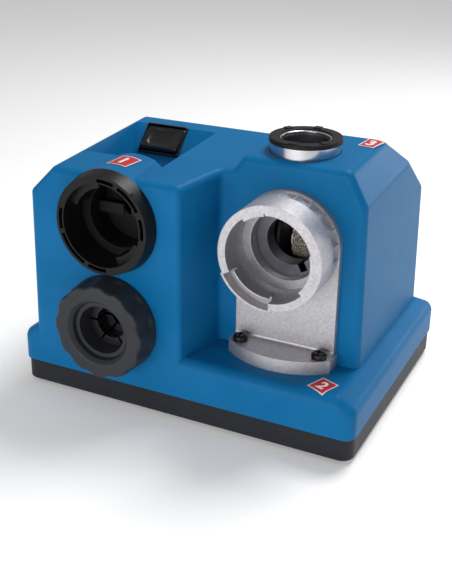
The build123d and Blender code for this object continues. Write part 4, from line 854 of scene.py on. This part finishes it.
@dataclass
class Rocker:
    """Switch rocker with a rounded-square finger hollow.

    Attributes:
        width: Across, in metres.
        radius: The frame's, about the rocker's pivot.
        clear: Share of that radius that the cap stays inside.
        pivot_drop: How far the pivot lies under the switch's face.
        face: Centre of the switch's face.
        tilt: The face's lean, in degrees.
        rest: The top's own slope at rest, in degrees.
        top: How far its middle stands over the face.
        skirt: How far its skirt reaches down from the top.
        soft: Radius of its rim.
        corner: Power that squares its outline; less is squarer.
        hollow: The hollow's width and length, as shares of the top's.
        hollow_depth: Depth of the hollow.
        hollow_square: Power that squares the hollow's outline; more is squarer.
        hollow_wall: Power that steepens the hollow's wall; less is steeper.
    """

    width: float = 31.2 * MM
    radius: float = 11.2 * MM
    clear: float = 0.98
    pivot_drop: float = 4.0 * MM
    face: Point = (-65.7 * MM, 17.15 * MM, 171.7 * MM)
    tilt: float = 45.0
    rest: float = 9.0
    top: float = 1.1 * MM
    skirt: float = 7.0 * MM
    soft: float = 0.5 * MM
    corner: float = 0.16
    hollow: tuple[float, float] = (0.74, 0.86)
    hollow_depth: float = 1.7 * MM
    hollow_square: float = 3.2
    hollow_wall: float = 0.55

    def to_row(self, local: np.ndarray) -> np.ndarray:
        """Local points to the row frame: a turn about X by the tilt, then a move.

        Args:
            local: Points (across, up the slope, out of the face), in metres.

        Returns:
            The points in place.
        """
        c, s = math.cos(math.radians(self.tilt)), math.sin(math.radians(self.tilt))
        x = self.face[0] + local[..., 0]
        y = self.face[1] + local[..., 1] * c - local[..., 2] * s
        z = self.face[2] + local[..., 1] * s + local[..., 2] * c
        return np.stack([x, y, z], -1)

    def build(self) -> list[bpy.types.Object]:
        """The cap: superellipse rings up the skirt, over the rim and in to the middle.

        The skirt stays inside a circle about the pivot, so that it turns in its frame. The top is a
        plane through that circle, and the rings on it run between the two points where they meet.

        Returns:
            The pieces.
        """
        turn = np.linspace(0, 2 * np.pi, 96, endpoint=False)
        slope = math.tan(math.radians(self.rest))
        half_w = self.width / 2
        reach = self.clear * self.radius
        across = np.sign(np.cos(turn)) * np.abs(np.cos(turn)) ** self.corner * half_w
        along = np.sign(np.sin(turn)) * np.abs(np.sin(turn)) ** self.corner
        rise = self.top + self.pivot_drop
        root = math.sqrt((1 + slope ** 2) * reach ** 2 - rise ** 2)
        middle, half_l = rise * slope / (1 + slope ** 2), root / (1 + slope ** 2)
        rim_y = middle + along * half_l
        rings = []
        for depth in np.linspace(self.skirt, self.soft, 10):
            z = self.top - rim_y * slope - depth
            limit = np.sqrt(np.maximum(reach ** 2 - (z + self.pivot_drop) ** 2, 0))
            rings.append(np.stack([across, np.clip(along * reach, -limit, limit), z], -1))
        for turned in (0.35, 0.7, 1.0):
            inset = self.soft * (1 - math.cos(turned * math.pi / 2))
            sunk = self.soft * (1 - math.sin(turned * math.pi / 2))
            y = middle + along * (half_l - inset)
            rings.append(np.stack([across * (1 - inset / half_w), y, self.top - y * slope - sunk], -1))
        for scale in np.linspace(0.97, 0.0, 26):
            x, y = across * scale, middle + along * half_l * scale
            edge = (np.abs(x / (half_w * self.hollow[0])) ** self.hollow_square
                    + np.abs((y - middle) / (half_l * self.hollow[1])) ** self.hollow_square)
            dip = np.clip(1 - edge, 0, None) ** self.hollow_wall * self.hollow_depth
            rings.append(np.stack([x, y, self.top - y * slope - dip], -1))
        cap = surface("rocker_cap", self.to_row(np.array(rings))[:, ::-1], closed=True)
        ride(cap, "rocker", SWITCH)
        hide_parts("switch_rocker")
        return [cap]


@dataclass
class ChuckKnob:
    """The chuck's scalloped knob.

    Attributes:
        axis: Its axis in x and z, in metres.
        front: Front face's y.
        back: Back face's y.
        radius: At the front.
        back_radius: At the back.
        land: Length of the straight land at the back.
        bore: Bore radius.
        mouth: Radius where the bore's mouth opens.
        mouth_depth: Depth of that opening.
        seat: Radius of the seat for the chuck's body, behind.
        seat_depth: Depth of the seat.
        facet: Longest step along the profile.
        lobes: Number of scallops.
        first_lobe: Angle of the first scallop, in degrees.
        depth: Depth of a scallop.
        plain: Share of the wave that stays unscalloped.
        skin: Radius where scallops start, and how far out they are full.
        rear: Distance from the back where scallops end, and how long they fade.
    """

    axis: tuple[float, float] = (-50.2 * MM, 67.2 * MM)
    front: float = -106.6 * MM
    back: float = -86.5 * MM
    radius: float = 34.6 * MM
    back_radius: float = 35.6 * MM
    land: float = 1.2 * MM
    bore: float = 21.4 * MM
    mouth: float = 24.1 * MM
    mouth_depth: float = 3.0 * MM
    seat: float = 24.8 * MM
    seat_depth: float = 4.8 * MM
    facet: float = 1.2 * MM
    lobes: int = 12
    first_lobe: float = 15.0
    depth: float = 1.5 * MM
    plain: float = 0.35
    skin: tuple[float, float] = (31.0 * MM, 3.0 * MM)
    rear: tuple[float, float] = (3.2 * MM, 1.4 * MM)

    def build(self) -> list[bpy.types.Object]:
        """The knob: a profile turned about Y, its skin pulled in by a cosine-shaped scallop.

        Returns:
            The pieces.
        """
        length = self.back - self.front
        step = length - self.seat_depth
        profile = divided(rounded([
            (self.seat, length, 0.0), (self.back_radius, length, 0.6 * MM),
            (self.back_radius, length - self.land, 0.4 * MM), (self.radius, 0.0, 2.2 * MM),
            (self.mouth, 0.0, 0.8 * MM), (self.bore, self.mouth_depth, 0.6 * MM),
            (self.bore, step, 0.3 * MM), (self.seat, step, 0.3 * MM), (self.seat, length, 0.0),
        ], 7), self.facet)
        angle = np.linspace(0, 2 * np.pi, 360, endpoint=False)
        r, along = profile[:, 0][:, None], profile[:, 1][:, None]
        wave = 0.5 + 0.5 * np.cos(self.lobes * (angle - math.radians(self.first_lobe)))[None, :]
        scoop = np.clip(wave - self.plain, 0, None) / (1 - self.plain)
        outer = np.clip((r - self.skin[0]) / self.skin[1], 0, 1)
        fade = np.clip((length - self.rear[0] - along) / self.rear[1], 0, 1)
        radius = r - self.depth * scoop ** 0.8 * outer * fade
        x = self.axis[0] + radius * np.cos(angle)
        z = self.axis[1] + radius * np.sin(angle)
        y = self.front + along + np.zeros_like(x)
        knob = surface("chuck_knob", np.stack([x, y, z], -1), closed=True)
        ride(knob, "collar", KNOB)
        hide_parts("chuck_collar")
        return [knob]


@dataclass
class TubeLip:
    """Bright steel lip that stands inside the top port's black ring.

    Attributes:
        centre: The port's axis in x and y, in metres.
        top: Height of the lip.
        depth: How far its skirt reaches down.
        bore: Its bore radius.
        outer: Its outer radius, inside the ring's bore.
        fall: How much lower the lip is at its bore.
        soft: Reach of its rounded edges.
    """

    centre: tuple[float, float] = (59.9 * MM, -11.6 * MM)
    top: float = 197.0 * MM
    depth: float = 9.0 * MM
    bore: float = 16.05 * MM
    outer: float = 17.5 * MM
    fall: float = 0.4 * MM
    soft: float = 0.5 * MM

    def build(self) -> list[bpy.types.Object]:
        """The lip: a rounded profile turned about Z.

        Returns:
            The pieces.
        """
        foot = self.top - self.depth
        profile = rounded([(self.outer, foot, 0.0), (self.outer, self.top, self.soft),
                           (self.bore, self.top - self.fall, self.soft), (self.bore, foot, 0.0)], 6)
        angle = np.linspace(0, 2 * np.pi, 128, endpoint=False)
        r, z = profile[:, 0][:, None], profile[:, 1][:, None]
        x = self.centre[0] + r * np.cos(angle)
        y = self.centre[1] + r * np.sin(angle)
        lip = surface("split_tube_lip", np.stack([x, y, z + np.zeros_like(x)], -1)[::-1], closed=True)
        ride(lip, "machine", STEEL_TUBE)
        return [lip]


@dataclass(frozen=True)
class Lamp:
    """One soft area lamp that looks at a point.

    Attributes:
        name: Lamp name.
        place: Where it hangs.
        aim: The point that it looks at.
        size: Its width and height.
        watts: Its power.
    """

    name: str
    place: Point
    aim: Point
    size: tuple[float, float]
    watts: float

    def build(self) -> None:
        """Hangs the lamp and turns it to its aim, level from side to side."""
        light = bpy.data.lights.new(self.name, "AREA")
        light.shape = "RECTANGLE"
        light.size, light.size_y = self.size
        light.energy = self.watts
        holder = show(self.name, light)
        away = np.array(self.place) - np.array(self.aim)
        pitch = math.atan2(math.hypot(away[0], away[1]), away[2])
        holder.location = self.place
        holder.rotation_euler = (pitch, 0.0, math.atan2(away[0], -away[1]))


@dataclass
class Studio:
    """Floor, lamps, surroundings and camera.

    Attributes:
        floor_size: Side of the floor.
        floor_white: Darkest and lightest grey of its paint.
        floor_glow: Light that it gives off, which keeps it pale.
        surround: Strength of the white surroundings.
        lamps: The lamps.
        lens: Focal length in millimetres.
        sensor: Width of the sensor in millimetres.
        place: Camera position.
        turn: Camera rotation in degrees.
        shift: Camera shift.
    """

    floor_size: float = 12.0
    floor_white: tuple[float, float] = (0.92, 0.95)
    floor_glow: float = 0.2
    surround: float = 0.32
    lamps: tuple[Lamp, ...] = (
        Lamp("key", (0.22, 0.5, 1.2), (0.03, 0.0, 0.1), (0.5, 0.5), 12.0),
        Lamp("rim", (0.62, 1.1, 0.3), (0.11, 0.0, 0.17), (0.6, 0.3), 2.6),
        Lamp("front", (-0.1, -1.3, 0.3), (0.0, 0.0, 0.1), (1.0, 0.4), 7.6),
    )
    lens: float = 62.09
    sensor: float = 36.0
    place: Point = (0.2934, -0.6247, 0.38165)
    turn: Point = (65.82, -0.13, 27.197)
    shift: tuple[float, float] = (0.04837, -0.01238)

    def build_floor(self) -> None:
        """Lays the floor: a flat square grid at z = 0."""
        g = Graph("pale_floor")
        paint = g.mix(g.noise(40.0), (self.floor_white[0],) * 3, (self.floor_white[1],) * 3)
        side = np.linspace(-self.floor_size / 2, self.floor_size / 2, 9)
        x, y = np.meshgrid(side, side, indexing="ij")
        floor = surface("floor", np.stack([x, y, np.zeros_like(x)], -1))
        floor.data.materials.append(g.finish(
            Base_Color=paint, Roughness=0.7, Emission_Color=(1.0, 1.0, 1.0), Emission_Strength=self.floor_glow))

    def build_camera(self) -> None:
        """Places the camera and makes it the scene's."""
        camera = bpy.data.cameras.new("camera")
        camera.lens = self.lens
        camera.sensor_width = self.sensor
        camera.shift_x, camera.shift_y = self.shift
        holder = show("camera", camera)
        holder.location = self.place
        holder.rotation_euler = tuple(math.radians(a) for a in self.turn)
        bpy.context.scene.camera = holder

    def build(self) -> None:
        """Sets the stage."""
        self.build_floor()
        world = bpy.data.worlds.new("studio")
        world.use_nodes = True
        background = world.node_tree.nodes["Background"].inputs
        background["Color"].default_value = (1.0, 1.0, 1.0, 1.0)
        background["Strength"].default_value = self.surround
        bpy.context.scene.world = world
        for lamp in self.lamps:
            lamp.build()
        bpy.context.scene.view_settings.view_transform = "Standard"
        self.build_camera()


@dataclass
class Sharpener:
    """The whole machine: CAD pieces dressed, and the finer pieces over them.

    Attributes:
        tops: The surfaces that the labels lie on.
    """

    tops: HousingTops = HousingTops()

    def labels(self) -> list[PortLabel]:
        """The three number plates, each with the surface under it.

        Returns:
            The labels.
        """
        return [
            PortLabel("1", (-49.6 * MM, BASE_FRONT_Y + 20.7 * MM), (16.0 * MM, 19.5 * MM), 5.0, self.tops.barrel),
            PortLabel("2", (103.2 * MM, BASE_FRONT_Y + 13.2 * MM), (14.0 * MM, 16.0 * MM), 22.0, self.tops.plinth),
            PortLabel("3", (95.8 * MM, 18.4 * MM), (11.5 * MM, 17.5 * MM), 9.0, self.tops.tower),
        ]

    def dress_cad(self) -> int:
        """Gives every carried-over CAD node its finish.

        Returns:
            How many were dressed.
        """
        for finish, names in CAD_FINISHES.items():
            for name in names:
                SHELF.dress(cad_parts[name], finish)
        return sum(len(names) for names in CAD_FINISHES.values())

    def build(self) -> list[bpy.types.Object]:
        """Builds and dresses everything.

        Returns:
            The new pieces.
        """
        log.info("dressed %d CAD pieces", self.dress_cad())
        pieces = [piece for label in self.labels() for piece in label.build()]
        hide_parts("port_labels")
        for part in (Rocker(), ChuckKnob(), TubeLip()):
            pieces += part.build()
        return pieces


def main() -> None:
    """Builds the studio and the machine, and reports each piece."""
    logging.basicConfig(level=logging.INFO, format="%(name)s: %(message)s")
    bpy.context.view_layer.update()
    Studio().build()
    for piece in Sharpener().build():
        log.info("built %s with %d faces", piece.name, len(piece.data.polygons))


if __name__ == "__main__":
    main()
